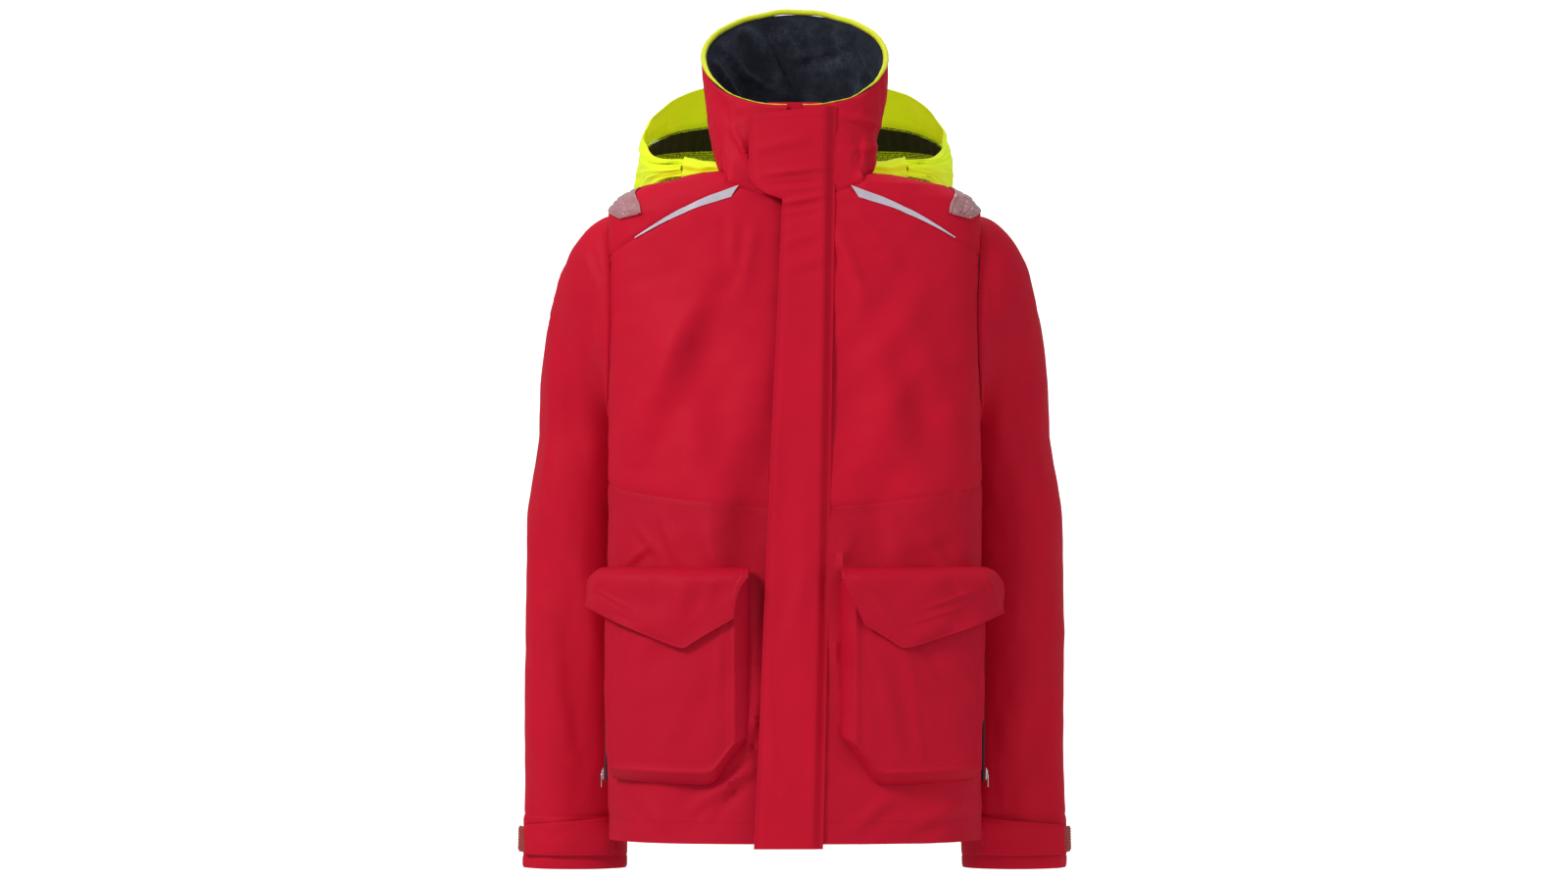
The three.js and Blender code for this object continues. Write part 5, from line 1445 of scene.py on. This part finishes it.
# each end of the band folds down to a point on the shoulder, under the collar
for word, side in SIDES:
    u, v = grid_uv((60, 24))
    top = along_curve(np.array([(124, -14, 19), (106, -32, 15), (88, -46, 11), (76, -54, 2)]), u)
    low = along_curve(np.array([(127, -14, -5), (108, -34, -3), (90, -48, -2), (76, -54, 0)]), u)
    form = lerp(low, top, v[..., None]) + [0, -7, 2] * np.sin(math.pi * v)[..., None]
    lift = normals_of(form)
    lift = lift * -np.sign(lift[..., 1:2].mean())
    pleats = 1.1 * np.sin(v * 15 + 2.5 * np.sin(u * 4)) * (1 - u) + 0.6 * ripple(u * 50, v * 22, 16, 131)
    face = form + lift * pleats[..., None]
    if side < 0:
        face, lift = mirror(face)[::-1], mirror(lift)[::-1]
    tail = cloth(f"hood_tail_{word}", face, 1.4, hood_threads,
                 [row_of(face, lift, np.linspace(0.03, 0.95, 60), 0.86)], lift=lift)
    sewn(tail, [], None, "fluoro_yellow", face)
    tip, root = (to_row(np.array(p) * [side, 1, 1]) for p in ((86, -48, 4), (124, -16, 8)))
    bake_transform(tail)

face, lift = hood_grid((0.05, 0.95), (0.96, BAND - 0.03), (160, 40),
                       lambda a, d, v: -6.5 + 0.6 * hood_folds(a, d) * np.sin(math.pi * v))
thing = cloth("hood_mesh", face[::-1], 0.7, [mesh_knit] * 3)
sewn(thing, ["hood_mesh"], "hood", "mesh", face)

face, lift = hood_grid((0.05, 0.95), (BAND + 0.085, BAND - 0.02), (260, 8),
                       lambda a, d, v: -8.2 + 0.6 * np.sin(a * 260) + sunk(np.minimum(v, 1 - v) * 12, 0.4, 2))
u = np.linspace(0, 1, 200)
second = []
for way in (1, -1):
    slanted = hood_point(lerp(0.06, 0.30, u) if way > 0 else lerp(0.94, 0.70, u), lerp(0.80, 0.46, u))
    second.append((0, tube(slanted * [0.95, 0.96, 1], 5.0, 10, 0.16)))
rows = [row_of(face, lift * -1, np.linspace(0.01, 0.99, 300), share) for share in (0.2, 0.8)]
thing = cloth("hood_tape", face[::-1], 1.0, tape_slots, rows, extras=second)
sewn(thing, ["hood_tape"], "hood", "black_tape")

# %% The neck of the hood, from the collar seam back to the fold
u, v = grid_uv((110, 60))
angle = np.radians(lerp(118, 242, u))
foot = body_point(angle, neck_height(angle))
away = unit(foot * [1, 1, 0] - [0, RIM_MID_Y, 0])
foot = foot + away * 6 + [0, 0, 5]
fold = along_curve(fold_curve, lerp(0.24, 0.76, u)) * [0.93, 1, 1] + [0, -12, 8]
arch = np.sin(math.pi * v)[..., None]
form = lerp(foot, fold, v[..., None]) + arch * [0, 12, 24]
lift = normals_of(form)
lift = lift * np.sign(lift[..., 2:3].mean())
waves = 2.2 * ripple(u * 260, v * 200, 70, 121) + 0.8 * ripple(u * 260, v * 200, 24, 122)
out = waves * np.sin(math.pi * v)
face = form + lift * out[..., None]
rows = [row_of(face, lift, np.linspace(0.02, 0.98, 200), 0.03)]
thing = cloth("hood_neck", face, 1.6, hood_threads, rows, lift=lift)
sewn(thing, ["hood_neck"], "shell", "fluoro_yellow", face)

# %% [markdown]
# ## Side zips and the lining
# A coil zip runs up each side seam behind the cargo pocket for a warm hand. The mesh lining
# hangs inside the body from below the armholes to just above the hem.

# %% Hand-warmer zips
for word, side in SIDES:
    u, v = grid_uv((16, 120))
    low = POUCH_FOOT - 2
    height = lerp(low, low + 170, v)
    angle = np.radians(lerp(89, 94, u))
    out = 1.7 + 0.5 * np.exp(-((u - 0.5) / 0.12) ** 2) + sunk(np.minimum(u, 1 - u) * 14, 0.5, 2)
    face = on_body(angle, height, out)
    flip = (lambda p: mirror(p)[::-1]) if side < 0 else (lambda p: p)
    face = flip(face)
    lift = normals_of(face)
    run = np.linspace(0.01, 0.99, 200)
    middle = 0.5 + 0 * run
    coils = [(2, stitches(pick(face, middle, run), pick(np.cross(lift, [0, 0, 1.0]), middle, run),
                          pitch=1.6, length=1.0, width=3.2, proud=0.4))]
    rows = [row_of(face, lift, share, run) for share in (0.16, 0.84)]
    thing = cloth(f"hand_zip_{word}", face, 1.1, [tape, tape, plastic], rows, lift=lift, extras=coils)
    sewn(thing, [f"hand_zip_{word}"], "shell", "black_tape")

    def beside(x, out, along):
        x, out, along = np.broadcast_arrays(*(np.asarray(c, float) for c in (x, out, along)))
        point = on_body(np.radians(91.65 + x / 3.7), low + along, out)
        return mirror(point) if side < 0 else point

    shield = [(-3.0, 2), (3.0, 2), (3.6, 8), (2.8, 15), (0, 14), (-2.8, 15), (-3.6, 8)][::side]
    pull = oval((0, 1.0), (2.6, 7.5), 20, 0.7)[::side]
    parts = [(0, solid(shield, (3.7, 5.0), beside, 0.4)),
             (0, solid(oval((0, 8), (1.1, 4.5), 14, 0.6)[::side], (4.9, 6.2), beside, 0.4)),
             (0, solid(pull, (6.0, 6.9), beside, 0.3))]
    sewn(gather(f"hand_zip_slider_{word}", parts, [metal]), [f"hand_zip_slider_{word}"],
         f"hand_zip_slider_{word}", "zip_metal")

# %% Mesh lining
u, v = grid_uv((200, 60))
angle = np.radians(lerp(12, 348, u))
height = lerp(HEM + 25, UNDERARM - 8, v)
form = body_point(angle, height)
wide = half_width(height)
deep = np.where(np.cos(angle) > 0, SIDE_Y - front_y(height), back_depth(height))
inset = 11.5 - 1.6 * ripple(angle * 150, height, 70, 131)
form[..., 0] *= (wide - inset) / wide
form[..., 1] = SIDE_Y + (form[..., 1] - SIDE_Y) * (deep - inset) / deep
lift = normals_of(form)
rows = [row_of(form, lift, np.linspace(0.005, 0.995, 500), share) for share in (0.015, 0.985)]
sewn(cloth("body_lining", form, 0.8, [mesh_knit, tape, mesh_knit], rows, lift=lift),
     ["body_lining"], "shell", "mesh", form)

# %% [markdown]
# ## The studio
# The jacket hangs over a pale floor inside a bright white tent that is seen but casts no light.
# One large soft lamp stands high on the left and a weaker one fills from the right, so folds read
# without hard shadows.

# %% Floor, tent, lamps and camera
def staged(name, material):
    thing = bpy.context.object
    thing.name = name
    thing.data.materials.append(material)
    return thing


pale = finish("pale_floor", (0.86, 0.86, 0.86), 0.9)[0]
glow, _, glow_shader = finish("white_tent", (0.9, 0.9, 0.9), 1.0)
glow_shader.inputs["Emission Color"].default_value = (1, 1, 1, 1)
glow_shader.inputs["Emission Strength"].default_value = 1.0
bpy.ops.mesh.primitive_circle_add(vertices=96, radius=1.3, fill_type="NGON", location=(0, 0, -1.05))
staged("floor", pale)
bpy.ops.mesh.primitive_uv_sphere_add(segments=48, ring_count=24, radius=14, location=(0, 0, 0))
tent = staged("tent", glow)
tent.visible_diffuse = tent.visible_glossy = tent.visible_transmission = tent.visible_shadow = False


def lamp(name, spot, size, power, target=(0, 0, -0.35)):
    light = bpy.data.lights.new(name, "AREA")
    light.size, light.energy = size, power
    thing = bpy.data.objects.new(name, light)
    thing.location = spot
    thing.rotation_euler = (Vector(target) - thing.location).to_track_quat("-Z", "Y").to_euler()
    bpy.context.scene.collection.objects.link(thing)
    return thing


lamp("key", (-2.5, -2.5, 2.0), 1.0, 90)
lamp("fill", (2.6, -3.2, 0.4), 2.4, 20)
lamp("top", (0.2, 0.6, 2.4), 1.6, 16, (0, 0, 0))

world = bpy.data.worlds.new("room")
world.use_nodes = True
world.node_tree.nodes["Background"].inputs["Color"].default_value = (1, 1, 1, 1)
world.node_tree.nodes["Background"].inputs["Strength"].default_value = 0.42
bpy.context.scene.world = world

camera = bpy.data.cameras.new("camera")
camera.lens, camera.sensor_width = 122.7, 36
eye = bpy.data.objects.new("camera", camera)
eye.location = (-0.012, -6.08, -0.331)
eye.rotation_euler = (math.radians(90), 0, 0)
bpy.context.scene.collection.objects.link(eye)
bpy.context.scene.camera = eye
bpy.context.scene.view_settings.view_transform = "Standard"
